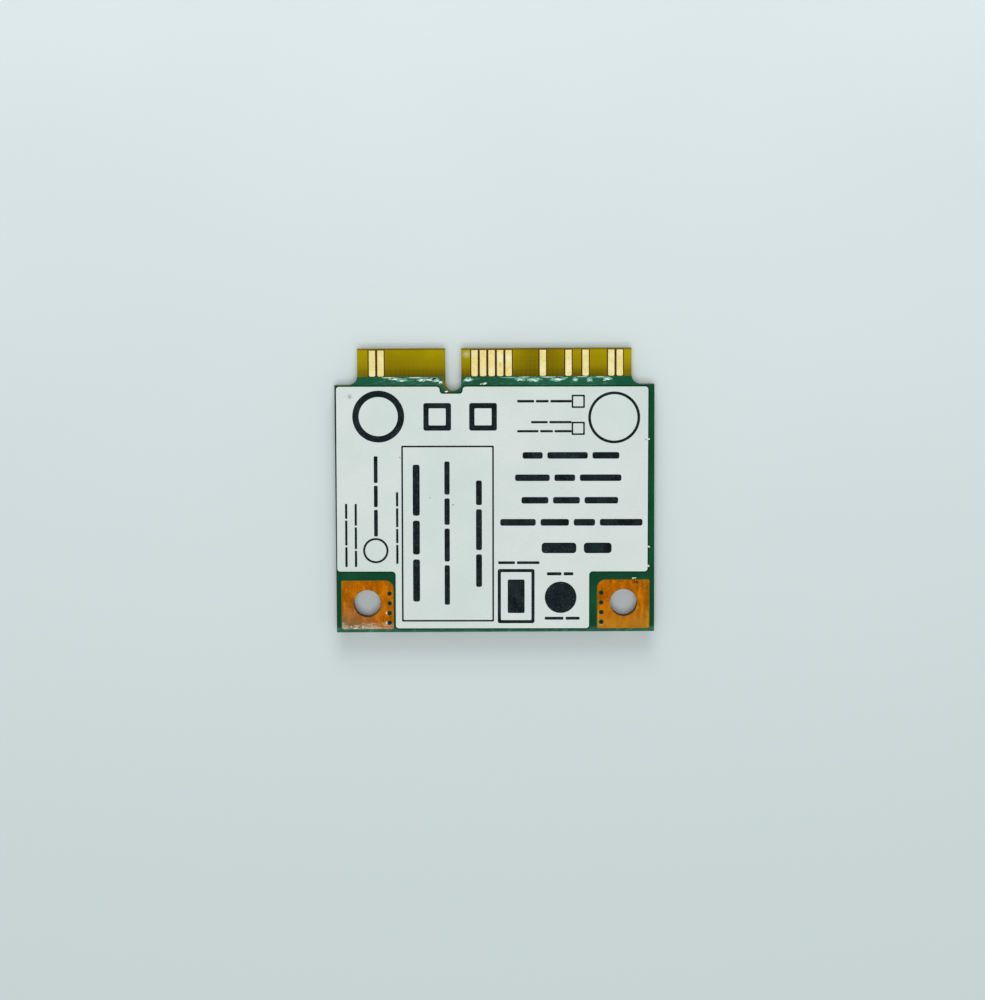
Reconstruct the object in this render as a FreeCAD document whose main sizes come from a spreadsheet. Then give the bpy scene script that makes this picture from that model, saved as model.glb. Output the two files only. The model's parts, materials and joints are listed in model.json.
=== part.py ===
import FreeCAD, Part
import os
from collections import namedtuple
from enum import IntEnum

import Sketcher
from FreeCAD import Placement, Rotation, Vector

# Half-length mini card radio, lying on its shield with the label side up.
# Millimetres. +X is to the right and +Y towards the edge connector, seen from the label side.
# The origin is under the middle of the board, on the surface that the shield lid rests on.

SIZES = {
    # Board
    "board_width": 30.0,
    "board_length": 26.8,
    "laminate_thickness": 0.93,
    "tongue_left_margin": 1.4,
    "tongue_right_margin": 1.1,
    "tongue_length": 3.4,
    "tongue_root_share": 0.42,
    "edge_bevel": 0.1,
    "key_offset": 3.85,
    "key_width": 1.5,
    "key_depth": 4.0,
    "hole_diameter": 2.6,
    "hole_side_margin": 2.9,
    "hole_rear_margin": 2.75,
    # Edge contacts
    "copper_thickness": 0.035,
    "contact_width": 0.6,
    "contact_length": 2.45,
    "contact_pitch": 0.8,
    "contact_front_gap": 0.14,
    "contact_key_gap": 2.0,
    "contact_stagger": 0.4,
    "contact_corner_bevel": 0.1,
    # Copper pads round the screw holes, measured from the hole's centre
    "pad_inner": 2.45,
    "pad_outer": 2.4,
    "pad_front": 2.15,
    "pad_rear": 2.43,
    "pad_round_corner": 0.75,
    "pad_corner_bevel": 0.08,
    # Solder mask, which stands for the film and the copper layer under it
    "mask_thickness": 0.05,
    "mask_front_gap": 2.62,
    "mask_clearance": 0.05,
    "dot_diameter": 0.45,
    "dot_pitch": 0.93,
    "dot_side_inset": 0.35,
    "dot_rear_inset": 0.58,
    # Paper label
    "label_thickness": 0.08,
    "label_side_gap": 0.37,
    "label_front_gap": 0.17,
    "label_rear_gap": 0.35,
    "label_shift": 0.24,
    "label_turn": 0.2,
    "label_pad_side_gap": 0.52,
    "label_pad_front_gap": 0.87,
    "label_key_side_gap": 0.33,
    "label_key_end_gap": 0.23,
    "label_corner_radius": 0.28,
    "label_inner_radius": 0.35,
    "label_key_radius": 0.3,
    # Sheet shield
    "sheet_thickness": 0.15,
    "sheet_bend_radius": 0.25,
    "shield_width": 25.2,
    "shield_length": 13.8,
    "shield_pad_gap": 0.9,
    "shield_headroom": 0.29,
    "shield_clearance": 0.03,
    "shield_corner_notch": 0.4,
    "lid_skirt": 0.95,
    "flange_width": 0.8,
    "bridge_width": 2.4,
    "foot_gap_width": 2.4,
    "foot_gap_height": 0.3,
    "snap_height": 0.62,
    "snap_inset": 6.0,
    "snap_length": 1.4,
    "snap_width": 0.3,
    "snap_depth": 0.09,
    "snap_slope": 0.08,
    "snap_slot_gap": 0.06,
    # Solder lands
    "land_thickness": 0.06,
    "land_toe": 0.2,
    "land_side": 0.05,
    "land_foot_margin": 0.2,
    # Antenna sockets
    "socket_offset": 6.0,
    "socket_rear_margin": 2.35,
    "socket_base_width": 2.0,
    "socket_base_length": 2.6,
    "socket_base_height": 0.36,
    "socket_base_chamfer": 0.25,
    "socket_boss_height": 0.22,
    "socket_clearance": 0.02,
    "socket_sheet": 0.12,
    "socket_height": 1.25,
    "socket_ring_diameter": 2.0,
    "socket_ring_bore": 1.66,
    "socket_ring_bevel": 0.06,
    "socket_wing_width": 1.8,
    "socket_foot_reach": 0.45,
    "socket_pin_diameter": 0.5,
    "socket_pin_height": 1.05,
    "socket_pin_bevel": 0.12,
    "socket_tail_width": 0.5,
    "socket_tail_reach": 0.25,
    # Leadless chips
    "lead_height": 0.1,
    "lead_length": 0.45,
    "lead_width": 0.22,
    "lead_mask_gap": 0.12,
    "die_pad_gap": 0.4,
    "radio_chip_length": 8.0,
    "radio_chip_width": 8.0,
    "radio_chip_height": 0.85,
    "radio_chip_pitch": 0.5,
    "memory_chip_length": 2.0,
    "memory_chip_width": 3.0,
    "memory_chip_height": 0.55,
    "memory_chip_pitch": 0.5,
    "antenna_switch_length": 1.8,
    "antenna_switch_width": 1.5,
    "antenna_switch_height": 0.5,
    "antenna_switch_pitch": 0.5,
    # Crystal
    "crystal_length": 3.2,
    "crystal_width": 2.5,
    "crystal_base_height": 0.4,
    "crystal_can_height": 0.3,
    "crystal_can_inset": 0.15,
    "crystal_land_length": 1.2,
    "crystal_land_width": 0.95,
    # Chip parts with a terminal at each end
    "terminal_wrap": 0.02,
    "capacitor_length": 1.0,
    "capacitor_width": 0.5,
    "capacitor_height": 0.5,
    "capacitor_terminal": 0.25,
    "resistor_length": 1.0,
    "resistor_width": 0.5,
    "resistor_height": 0.35,
    "resistor_terminal": 0.22,
    "bulk_capacitor_length": 2.0,
    "bulk_capacitor_width": 1.25,
    "bulk_capacitor_height": 1.0,
    "bulk_capacitor_terminal": 0.45,
    "band_filter_length": 2.0,
    "band_filter_width": 1.25,
    "band_filter_height": 0.9,
    "band_filter_terminal": 0.3,
    "power_inductor_length": 2.0,
    "power_inductor_width": 1.6,
    "power_inductor_height": 1.05,
    "power_inductor_terminal": 0.4,
    # Where the parts stand, outside the shield and inside it
    "row_pitch": 1.15,
    "front_row_share": 0.45,
    "rear_row_gap": 0.93,
    "bulk_side_margin": 5.2,
    "radio_chip_offset": 1.5,
    "column_gap": 1.1,
    "crystal_gap": 2.9,
    "crystal_forward": 2.9,
    "memory_side_margin": 3.2,
    "memory_back": 2.4,
    "supply_gap": 2.7,
    "supply_forward": 2.8,
    "supply_spacing": 3.0,
    "filter_spacing": 5.0,
}

# Places on the tongue's two tabs that carry a contact, counted away from the key
LABEL_SIDE_PLACES = {"short": (6, 7), "long": (0, 1, 2, 3, 4, 8, 11, 13, 16, 17)}
COMPONENT_SIDE_PLACES = {"short": (0, 1, 2, 3, 4, 7), "long": (2, 3, 4, 5, 6, 7, 8, 9, 10, 11, 12, 13)}
TABS = {"short": -1, "long": 1}

# Parts in a row, from left to right: c capacitor, r resistor, any other letter an empty place
FRONT_ROW = "cc..ccrrcrcc"
CHIP_ROW = "ccccccc"
RIGHT_COLUMN = "crccrc"
LEFT_COLUMN = "ccrc"
SOCKET_ROW = "crc"
MIDDLE_ROW = "rrcr"
KINDS = {"c": "capacitor", "r": "resistor"}

PAD_DOT_COUNT = 4
DOT_SIDE_COUNT = 12
LONG_WALL_GAP_COUNT = 3
RADIO_LEAD_COUNT = 14
MEMORY_LEAD_COUNT = 4
SWITCH_LEAD_COUNT = 3
SIDES = {"left": -1, "right": 1}
TINY = 1e-4

# How sketches number their origin, a line's ends and a circle's centre, and how dressings name their size
ORIGIN = -1
Point = IntEnum("Point", "START END CENTRE")
DRESSING_SIZE = {"Fillet": "Radius", "Chamfer": "Size"}

doc = FreeCAD.newDocument("radio_card")
dim = doc.addObject("Spreadsheet::Sheet", "dim")
for row, (alias, size) in enumerate(SIZES.items(), 1):
    dim.set(f"A{row}", alias.replace("_", " "))
    dim.set(f"B{row}", str(size))
    dim.setAlias(f"B{row}", alias)
doc.recompute()

# Levels, from the surface up
LID_INSIDE = "dim.sheet_thickness"
BOARD_LOW = "(dim.sheet_thickness + dim.shield_headroom + dim.power_inductor_height + dim.land_thickness)"
BOARD_HIGH = f"({BOARD_LOW} + dim.laminate_thickness)"
MASK_HIGH = f"({BOARD_HIGH} + dim.mask_thickness)"

# Places on the board
SIDE = "(dim.board_width / 2)"
FRONT = "(dim.board_length / 2)"
REAR = "(-dim.board_length / 2)"
SHOULDER = f"({FRONT} - dim.tongue_length)"
KEY_X = "(-dim.key_offset)"
KEY_END = f"({FRONT} - dim.key_depth)"
LEFT_SPAN = f"(dim.contact_key_gap + {max(LABEL_SIDE_PLACES['short'])} * dim.contact_pitch)"
RIGHT_SPAN = f"(dim.contact_key_gap + {max(LABEL_SIDE_PLACES['long'])} * dim.contact_pitch)"
TONGUE_LEFT = f"({KEY_X} - {LEFT_SPAN} - dim.tongue_left_margin)"
TONGUE_RIGHT = f"({KEY_X} + {RIGHT_SPAN} + dim.tongue_right_margin)"
HOLE_X = f"({SIDE} - dim.hole_side_margin)"
HOLE_Y = f"({REAR} + dim.hole_rear_margin)"
MASK_FRONT = f"({FRONT} - dim.mask_front_gap)"
PAD_INNER_X = f"({HOLE_X} - dim.pad_inner)"
PAD_REAR = f"({HOLE_Y} - dim.pad_rear)"
SOCKET_Y = f"({REAR} + dim.socket_rear_margin)"

# The shield lid's outside and the frame's outside
SHIELD_SIDE = "(dim.shield_width / 2)"
SHIELD_REAR = f"({HOLE_Y} + dim.pad_front + dim.shield_pad_gap)"
SHIELD_FRONT = f"({SHIELD_REAR} + dim.shield_length)"
SHIELD_Y = f"(({SHIELD_FRONT} + {SHIELD_REAR}) / 2)"
FRAME_INSET = "(dim.sheet_thickness + dim.shield_clearance)"
FRAME_SIDE = f"({SHIELD_SIDE} - {FRAME_INSET})"
FRAME_FRONT = f"({SHIELD_FRONT} - {FRAME_INSET})"
FRAME_REAR = f"({SHIELD_REAR} + {FRAME_INSET})"
FRAME_HEIGHT = f"({BOARD_LOW} - dim.land_thickness - {LID_INSIDE})"
SNAP_X = f"({SHIELD_SIDE} - dim.snap_inset)"

# The rows under the shield lie halfway between the radio chip and the lands of the frame's feet
FOOT_INSET = "(dim.sheet_thickness + dim.land_foot_margin)"
CHIP_FRONT = f"({SHIELD_Y} + dim.radio_chip_width / 2)"
CHIP_REAR = f"({SHIELD_Y} - dim.radio_chip_width / 2)"
INNER_FRONT_ROW = f"(({CHIP_FRONT} + {FRAME_FRONT} - {FOOT_INSET}) / 2)"
INNER_REAR_ROW = f"(({CHIP_REAR} + {FRAME_REAR} + {FOOT_INSET}) / 2)"

# A block is given by its middle, its length along X, its width along Y and its two levels
Block = namedtuple("Block", "x y length width low high")

nodes = []
land_blocks = []
mask_openings = []
chip_blocks = {}


def number(expression):
    """The value of an expression over the sheet."""
    return float(dim.evalExpression(expression))


def below(depth):
    """The level at a depth under the board's component side."""
    return f"({BOARD_LOW} - ({depth}))"


def keep(item):
    """Marks a finished sub-part for export."""
    nodes.append(item)
    return item


# Sketches and features


def new_body(label, level="0"):
    body = doc.addObject("PartDesign::Body", label)
    body.AllowCompound = True
    body.setExpression(".Placement.Base.z", level)
    return body


def new_sketch(body, role="XY_Plane", offset="0"):
    plane = next(item for item in body.Origin.OriginFeatures if item.Role == role)
    sketch = body.newObject("Sketcher::SketchObject", f"{body.Name}_sketch")
    sketch.AttachmentSupport = [(plane, "")]
    sketch.MapMode = "FlatFace"
    sketch.setExpression(".AttachmentOffset.Base.z", offset)
    return sketch


def fix_points(sketch, points):
    """Binds each point's distances from the sketch's origin to a pair of expressions."""
    rules = []
    expressions = []
    for geometry, point, x, y in points:
        for kind, expression in (("DistanceX", x), ("DistanceY", y)):
            rules.append(Sketcher.Constraint(kind, ORIGIN, Point.START, geometry, point, number(expression)))
            expressions.append(expression)
    for index, expression in zip(sketch.addConstraint(rules), expressions):
        sketch.setExpression(f"Constraints[{index}]", expression)


def add_outline(sketch, corners):
    """A closed line through corners, each a pair of expressions."""
    spots = [Vector(number(x), number(y), 0) for x, y in corners]
    ahead = spots[1:] + spots[:1]
    lines = sketch.addGeometry([Part.LineSegment(here, there) for here, there in zip(spots, ahead)])
    joins = zip(lines, lines[1:] + lines[:1])
    sketch.addConstraint([Sketcher.Constraint("Coincident", a, Point.END, b, Point.START) for a, b in joins])
    fix_points(sketch, [(line, Point.START, x, y) for line, (x, y) in zip(lines, corners)])


def rectangle(left, rear, right, front):
    return [(left, rear), (right, rear), (right, front), (left, front)]


def add_circle(sketch, x, y, diameter):
    centre = Vector(number(x), number(y), 0)
    circle = sketch.addGeometry(Part.Circle(centre, Vector(0, 0, 1), number(diameter) / 2))
    fix_points(sketch, [(circle, Point.CENTRE, x, y)])
    index = sketch.addConstraint(Sketcher.Constraint("Diameter", circle, number(diameter)))
    sketch.setExpression(f"Constraints[{index}]", diameter)


def pad(body, sketch, length):
    feature = body.newObject("PartDesign::Pad", f"{body.Name}_pad")
    feature.Profile = sketch
    feature.setExpression("Length", length)
    doc.recompute()
    return feature


def pocket(body, sketch, depth=None, upwards=False):
    """Cuts a sketch out of a body, right through both ways where no depth is given."""
    before = body.Shape.Volume
    feature = body.newObject("PartDesign::Pocket", f"{body.Name}_pocket")
    feature.Profile = sketch
    if depth is None:
        feature.Type = "ThroughAll"
        feature.SideType = "Symmetric"
    else:
        feature.Reversed = upwards
        feature.setExpression("Length", depth)
    doc.recompute()
    if feature.Shape.Volume >= before:
        raise RuntimeError(f"{feature.Name} cuts nothing")
    return feature


def edges_of(feature, wanted):
    return [f"Edge{i}" for i, edge in enumerate(feature.Shape.Edges, 1) if wanted(edge)]


def is_upright(edge):
    box = edge.BoundBox
    return box.XLength < TINY and box.YLength < TINY


def is_level_at(edge, level):
    box = edge.BoundBox
    return box.ZLength < TINY and abs(box.ZMin - level) < TINY


def dress(body, feature, kind, edges, size):
    """Adds a fillet or a chamfer to some of a feature's edges."""
    dressing = body.newObject(f"PartDesign::{kind}", f"{body.Name}_{kind.lower()}")
    dressing.Base = (feature, edges)
    dressing.setExpression(DRESSING_SIZE[kind], size)
    doc.recompute()
    return dressing


def dress_corners(body, feature, kind, corners, size):
    """Fillets or chamfers the upright edges that stand at some corners."""
    spots = [(number(x), number(y)) for x, y in corners]

    def wanted(edge):
        place = edge.BoundBox
        return is_upright(edge) and any(abs(place.XMin - x) + abs(place.YMin - y) < TINY for x, y in spots)

    return dress(body, feature, kind, edges_of(feature, wanted), size)


# Blocks and groups


def add_block(name, block):
    box = doc.addObject("Part::Box", name)
    box.setExpression("Length", block.length)
    box.setExpression("Width", block.width)
    box.setExpression("Height", f"{block.high} - ({block.low})")
    box.setExpression(".Placement.Base.x", f"{block.x} - ({block.length}) / 2")
    box.setExpression(".Placement.Base.y", f"{block.y} - ({block.width}) / 2")
    box.setExpression(".Placement.Base.z", block.low)
    return box


def group(label, items):
    """One sub-part made of like pieces that stay separate solids."""
    gathered = doc.addObject("Part::Compound", label)
    gathered.Links = items
    doc.recompute()
    return keep(gathered)


def block_group(label, blocks):
    return group(label, [add_block(f"{label}_piece", block) for block in blocks])


def add_land(x, y, length, width):
    """A tinned land on the component side, in an opening of the mask."""
    land_blocks.append(Block(x, y, length, width, below("dim.land_thickness"), BOARD_LOW))
    open_mask(x, y, f"{length} + 2 * dim.mask_clearance", f"{width} + 2 * dim.mask_clearance")


def open_mask(x, y, length, width):
    """A cutter for the component side's mask, which passes right through the film."""
    low, high = below("2 * dim.mask_thickness"), below("-dim.mask_thickness")
    mask_openings.append(Block(x, y, length, width, low, high))


# Board


def board_blank(label, level, thickness):
    """The board's outline, with its rounded tongue roots and key slot."""
    body = new_body(label, level)
    roots = [(TONGUE_RIGHT, SHOULDER), (TONGUE_LEFT, SHOULDER)]
    outline = [(f"-{SIDE}", REAR), (SIDE, REAR), (SIDE, SHOULDER), roots[0]]
    outline += [(TONGUE_RIGHT, FRONT), (TONGUE_LEFT, FRONT), roots[1], (f"-{SIDE}", SHOULDER)]
    sketch = new_sketch(body)
    add_outline(sketch, outline)
    blank = pad(body, sketch, thickness)
    dress_corners(body, blank, "Fillet", roots, f"dim.tongue_root_share * ({SIDE} - {TONGUE_RIGHT})")
    slot_bottom = f"({KEY_END} + dim.key_width / 2)"
    slot_sides = (f"{KEY_X} - dim.key_width / 2", f"{KEY_X} + dim.key_width / 2")
    slot = new_sketch(body)
    add_outline(slot, rectangle(slot_sides[0], slot_bottom, slot_sides[1], FRONT))
    pocket(body, slot)
    slot_end = new_sketch(body)
    add_circle(slot_end, KEY_X, slot_bottom, "dim.key_width")
    pocket(body, slot_end)
    return body


def make_laminate():
    body = board_blank("laminate", BOARD_LOW, "dim.laminate_thickness")
    holes = new_sketch(body)
    for side in SIDES.values():
        add_circle(holes, f"{side} * {HOLE_X}", HOLE_Y, "dim.hole_diameter")
    drilled = pocket(body, holes)
    front = number(FRONT)

    def at_front(edge):
        box = edge.BoundBox
        return abs(box.YMin - front) < TINY and box.YLength < TINY and box.ZLength < TINY

    dress(body, drilled, "Chamfer", edges_of(drilled, at_front), "dim.edge_bevel")
    keep(body)


def pad_corners(side, grow="0"):
    """The corners of a screw pad, the round one first, with a margin all round."""
    inner = f"{side} * ({PAD_INNER_X} - {grow})"
    outer = f"{side} * ({HOLE_X} + dim.pad_outer + {grow})"
    rear = f"{PAD_REAR} - {grow}"
    front = f"{HOLE_Y} + dim.pad_front + {grow}"
    return [(inner, front), (inner, rear), (outer, rear), (outer, front)]


def make_screw_pad(label, side, level):
    body = new_body(label, level)
    corners = pad_corners(side)
    sketch = new_sketch(body)
    add_outline(sketch, corners)
    blank = pad(body, sketch, "dim.copper_thickness")
    rounded = dress_corners(body, blank, "Fillet", corners[:1], "dim.pad_round_corner")
    dress_corners(body, rounded, "Chamfer", corners[1:], "dim.pad_corner_bevel")
    hole = new_sketch(body)
    add_circle(hole, f"{side} * {HOLE_X}", HOLE_Y, "dim.hole_diameter")
    pocket(body, hole)
    keep(body)


def mask_film(label, level):
    """The board's outline short of the contacts, with an opening round each screw pad."""
    body = board_blank(label, level, "dim.mask_thickness")
    bare_front = new_sketch(body)
    add_outline(bare_front, rectangle(f"-{SIDE}", MASK_FRONT, SIDE, FRONT))
    pocket(body, bare_front)
    for side in SIDES.values():
        corners = pad_corners(side, "dim.mask_clearance")
        sketch = new_sketch(body)
        add_outline(sketch, corners)
        opened = pocket(body, sketch)
        round_size = "dim.pad_round_corner + dim.mask_clearance"
        rounded = dress_corners(body, opened, "Fillet", corners[:1], round_size)
        dress_corners(body, rounded, "Chamfer", corners[1:], "dim.pad_corner_bevel")
    return body


def mask_dots():
    """The covered vias in a column along each label-side screw pad's inner edge."""
    dots = []
    for side in SIDES.values():
        for place in range(PAD_DOT_COUNT):
            dot = doc.addObject("Part::Prism", "mask_dot")
            dot.Polygon = DOT_SIDE_COUNT
            dot.setExpression("Circumradius", "dim.dot_diameter / 2")
            dot.setExpression("Height", "dim.mask_thickness - dim.copper_thickness")
            along = f"dim.dot_rear_inset + {place} * dim.dot_pitch"
            dot.setExpression(".Placement.Base.x", f"{side} * ({PAD_INNER_X} + dim.dot_side_inset)")
            dot.setExpression(".Placement.Base.y", f"{PAD_REAR} + {along}")
            dot.setExpression(".Placement.Base.z", f"{BOARD_HIGH} + dim.copper_thickness")
            dots.append(dot)
    return dots


def make_label_side_mask():
    group("label_side_mask", [mask_film("label_side_film", BOARD_HIGH)] + mask_dots())


def make_component_side_mask():
    """Made last, because each part on this side asks for its openings."""
    film = mask_film("component_side_film", below("dim.mask_thickness"))
    openings = doc.addObject("Part::Compound", "mask_openings")
    openings.Links = [add_block("mask_opening", block) for block in mask_openings]
    cut = doc.addObject("Part::Cut", "component_side_mask")
    cut.Base = film
    cut.Tool = openings
    doc.recompute()
    keep(cut)


def make_contacts(label, places, low, shift="0"):
    """A row of contacts with bevelled rear corners."""
    body = new_body(label, low)
    sketch = new_sketch(body)
    front = f"({FRONT} - dim.contact_front_gap)"
    rear = f"({front} - dim.contact_length)"
    side_rear = f"{rear} + dim.contact_corner_bevel"
    flat = "(dim.contact_width / 2 - dim.contact_corner_bevel)"
    for tab, filled in places.items():
        for place in filled:
            away = f"{TABS[tab]} * (dim.contact_key_gap + {place} * dim.contact_pitch)"
            x = f"({KEY_X} + {away} - {shift})"
            left, right = f"{x} - dim.contact_width / 2", f"{x} + dim.contact_width / 2"
            outline = [(left, side_rear), (f"{x} - {flat}", rear), (f"{x} + {flat}", rear)]
            outline += [(right, side_rear), (right, front), (left, front)]
            add_outline(sketch, outline)
    pad(body, sketch, "dim.copper_thickness")
    keep(body)


def make_label():
    """Die-cut paper that clears the screw pads and the key, stuck on a little askew."""
    body = new_body("label", MASK_HIGH)
    body.setExpression(".Placement.Base.x", "-dim.label_shift")
    body.setExpression(".Placement.Rotation.Angle", "-dim.label_turn")
    half = f"({SIDE} - dim.label_side_gap)"
    waist = f"({PAD_INNER_X} - dim.label_pad_side_gap)"
    front = f"({SHOULDER} - dim.label_front_gap)"
    rear = f"({REAR} + dim.label_rear_gap)"
    lobe_rear = f"({HOLE_Y} + dim.pad_front + dim.label_pad_front_gap)"
    key_half = "(dim.key_width / 2 + dim.label_key_side_gap)"
    key_rear = f"({KEY_END} - dim.label_key_end_gap)"
    tail = [(f"-{waist}", rear), (waist, rear)]
    inside = [(waist, lobe_rear), (f"-{waist}", lobe_rear)]
    right_lobe = [(half, lobe_rear), (half, front)]
    left_lobe = [(f"-{half}", front), (f"-{half}", lobe_rear)]
    key_mouth = [(f"{KEY_X} + {key_half}", front), (f"{KEY_X} - {key_half}", front)]
    key_root = [(f"{KEY_X} + {key_half}", key_rear), (f"{KEY_X} - {key_half}", key_rear)]
    outline = tail + inside[:1] + right_lobe + [key_mouth[0]] + key_root + [key_mouth[1]]
    outline += left_lobe + inside[1:]
    sketch = new_sketch(body)
    add_outline(sketch, outline)
    blank = pad(body, sketch, "dim.label_thickness")
    outer = dress_corners(body, blank, "Fillet", tail + right_lobe + left_lobe, "dim.label_corner_radius")
    inner = dress_corners(body, outer, "Fillet", inside, "dim.label_inner_radius")
    dress_corners(body, inner, "Fillet", key_mouth + key_root, "dim.label_key_radius")
    keep(body)


# Shield


def folded_tray(label, level, side, rear, front, height):
    """A sheet folded up on four sides, with notched corners so that each wall springs by itself."""
    body = new_body(label, level)
    sketch = new_sketch(body)
    add_outline(sketch, rectangle(f"-{side}", rear, side, front))
    block = pad(body, sketch, height)
    floor_edges = edges_of(block, lambda edge: is_level_at(edge, 0))
    bent = dress(body, block, "Fillet", floor_edges, "dim.sheet_bend_radius")
    tray = body.newObject("PartDesign::Thickness", f"{label}_sheet")
    top = max(range(len(bent.Shape.Faces)), key=lambda i: bent.Shape.Faces[i].CenterOfMass.z)
    tray.Base = (bent, [f"Face{top + 1}"])
    tray.Reversed = True
    tray.setExpression("Value", "dim.sheet_thickness")
    doc.recompute()
    notches = new_sketch(body)
    for x_sign in SIDES.values():
        for y_edge, inward in ((rear, "+"), (front, "-")):
            x_edge = f"({x_sign} * {side})"
            x_inner = f"{x_edge} - {x_sign} * dim.shield_corner_notch"
            y_inner = f"{y_edge} {inward} dim.shield_corner_notch"
            add_outline(notches, rectangle(x_edge, y_edge, x_inner, y_inner))
    pocket(body, notches)
    return body


def wall_gaps():
    """Middles of the gaps between the feet: along the front and rear walls, and along the side walls."""
    step = f"(2 * {FRAME_SIDE} / {LONG_WALL_GAP_COUNT + 1})"
    middle = (LONG_WALL_GAP_COUNT - 1) / 2
    return [f"({i - middle} * {step})" for i in range(LONG_WALL_GAP_COUNT)], [SHIELD_Y]


def snap_slot(middle):
    """The corners of a slot that takes one of the lid's ridges, on an upright plane."""
    half_length = "(dim.snap_length / 2 + dim.snap_slot_gap)"
    half_width = "(dim.snap_width / 2 + dim.snap_slot_gap)"
    level = f"dim.snap_height - {LID_INSIDE}"
    low, high = f"{level} - {half_width}", f"{level} + {half_width}"
    return rectangle(f"{middle} - {half_length}", low, f"{middle} + {half_length}", high)


def make_shield_frame():
    body = folded_tray("shield_frame", LID_INSIDE, FRAME_SIDE, FRAME_REAR, FRAME_FRONT, FRAME_HEIGHT)
    rim = "(dim.sheet_thickness + dim.flange_width)"
    windows = new_sketch(body)
    for side in SIDES.values():
        near = f"{side} * dim.bridge_width / 2"
        far = f"{side} * ({FRAME_SIDE} - {rim})"
        add_outline(windows, rectangle(near, f"{FRAME_REAR} + {rim}", far, f"{FRAME_FRONT} - {rim}"))
    pocket(body, windows)
    half = "dim.foot_gap_width / 2"
    along_x, along_y = wall_gaps()
    gaps = new_sketch(body, offset=f"{FRAME_HEIGHT} - dim.foot_gap_height")
    wall = "dim.sheet_thickness"
    for x in along_x:
        for near, far in ((FRAME_REAR, f"{FRAME_REAR} + {wall}"), (f"{FRAME_FRONT} - {wall}", FRAME_FRONT)):
            add_outline(gaps, rectangle(f"{x} - {half}", near, f"{x} + {half}", far))
    for y in along_y:
        for side in SIDES.values():
            near = f"{side} * {FRAME_SIDE}"
            far = f"{side} * ({FRAME_SIDE} - {wall})"
            add_outline(gaps, rectangle(near, f"{y} - {half}", far, f"{y} + {half}"))
    pocket(body, gaps, "dim.foot_gap_height", upwards=True)
    long_wall_snaps = [f"{side} * {SNAP_X}" for side in SIDES.values()]
    for plane, middles in (("XZ_Plane", long_wall_snaps), ("YZ_Plane", [SHIELD_Y])):
        slots = new_sketch(body, plane)
        for middle in middles:
            add_outline(slots, snap_slot(middle))
        pocket(body, slots)
    keep(body)
    land_wall_feet(along_x, along_y)


def land_wall_feet(along_x, along_y):
    """A land under each foot, between the gaps and the notched corners."""
    half = "dim.foot_gap_width / 2"
    width = "(dim.sheet_thickness + 2 * dim.land_foot_margin)"
    notch = "dim.shield_corner_notch"
    starts = [f"-({FRAME_SIDE} - {notch})"] + [f"({x} + {half})" for x in along_x]
    ends = [f"({x} - {half})" for x in along_x] + [f"({FRAME_SIDE} - {notch})"]
    for start, end in zip(starts, ends):
        for y in (f"{FRAME_REAR} + dim.sheet_thickness / 2", f"{FRAME_FRONT} - dim.sheet_thickness / 2"):
            add_land(f"({start} + {end}) / 2", y, f"({end} - ({start}))", width)
    starts = [f"({FRAME_REAR} + {notch})"] + [f"({y} + {half})" for y in along_y]
    ends = [f"({y} - {half})" for y in along_y] + [f"({FRAME_FRONT} - {notch})"]
    for start, end in zip(starts, ends):
        for side in SIDES.values():
            x = f"{side} * ({FRAME_SIDE} - dim.sheet_thickness / 2)"
            add_land(x, f"({start} + {end}) / 2", width, f"({end} - ({start}))")


def add_ridge(name, x, y, turn):
    """A sloped block that points into the lid, from a place on a wall's face."""
    ridge = doc.addObject("Part::Wedge", name)
    for axis, half in (("X", "dim.snap_length / 2"), ("Z", "dim.snap_width / 2")):
        ridge.setExpression(f"{axis}min", f"-{half}")
        ridge.setExpression(f"{axis}max", half)
        ridge.setExpression(f"{axis}2min", f"dim.snap_slope - {half}")
        ridge.setExpression(f"{axis}2max", f"{half} - dim.snap_slope")
    ridge.setExpression("Ymax", "dim.snap_depth")
    ridge.Placement = Placement(Vector(), turn)
    ridge.setExpression(".Placement.Base.x", x)
    ridge.setExpression(".Placement.Base.y", y)
    ridge.setExpression(".Placement.Base.z", "dim.snap_height")
    return ridge


def make_shield_lid():
    body = folded_tray("shield_lid_tray", "0", SHIELD_SIDE, SHIELD_REAR, SHIELD_FRONT, "dim.lid_skirt")
    forward = Vector(0, 1, 0)
    places = [(f"{side} * {SNAP_X}", SHIELD_REAR, 0, 1) for side in SIDES.values()]
    places += [(f"{side} * {SNAP_X}", SHIELD_FRONT, 0, -1) for side in SIDES.values()]
    places += [(f"{side} * {SHIELD_SIDE}", SHIELD_Y, -side, 0) for side in SIDES.values()]
    bumps = []
    dents = []
    for x, y, x_way, y_way in places:
        turn = Rotation(forward, Vector(x_way, y_way, 0))
        dents.append(add_ridge("dent", x, y, turn))
        inside = (f"{x} + {x_way} * dim.sheet_thickness", f"{y} + {y_way} * dim.sheet_thickness")
        bumps.append(add_ridge("bump", *inside, turn))
    bumped = doc.addObject("Part::MultiFuse", "bumped_lid")
    bumped.Shapes = [body] + bumps
    dent_group = doc.addObject("Part::Compound", "dents")
    dent_group.Links = dents
    lid = doc.addObject("Part::Cut", "shield_lid")
    lid.Base = bumped
    lid.Tool = dent_group
    doc.recompute()
    keep(lid)


# Antenna sockets, each modelled standing up on its lands and then turned over under the board


def hang(body, x):
    body.Placement = Placement(Vector(), Rotation(Vector(1, 0, 0), 180))
    body.setExpression(".Placement.Base.x", x)
    body.setExpression(".Placement.Base.y", SOCKET_Y)
    body.setExpression(".Placement.Base.z", below("dim.land_thickness"))
    keep(body)


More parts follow.
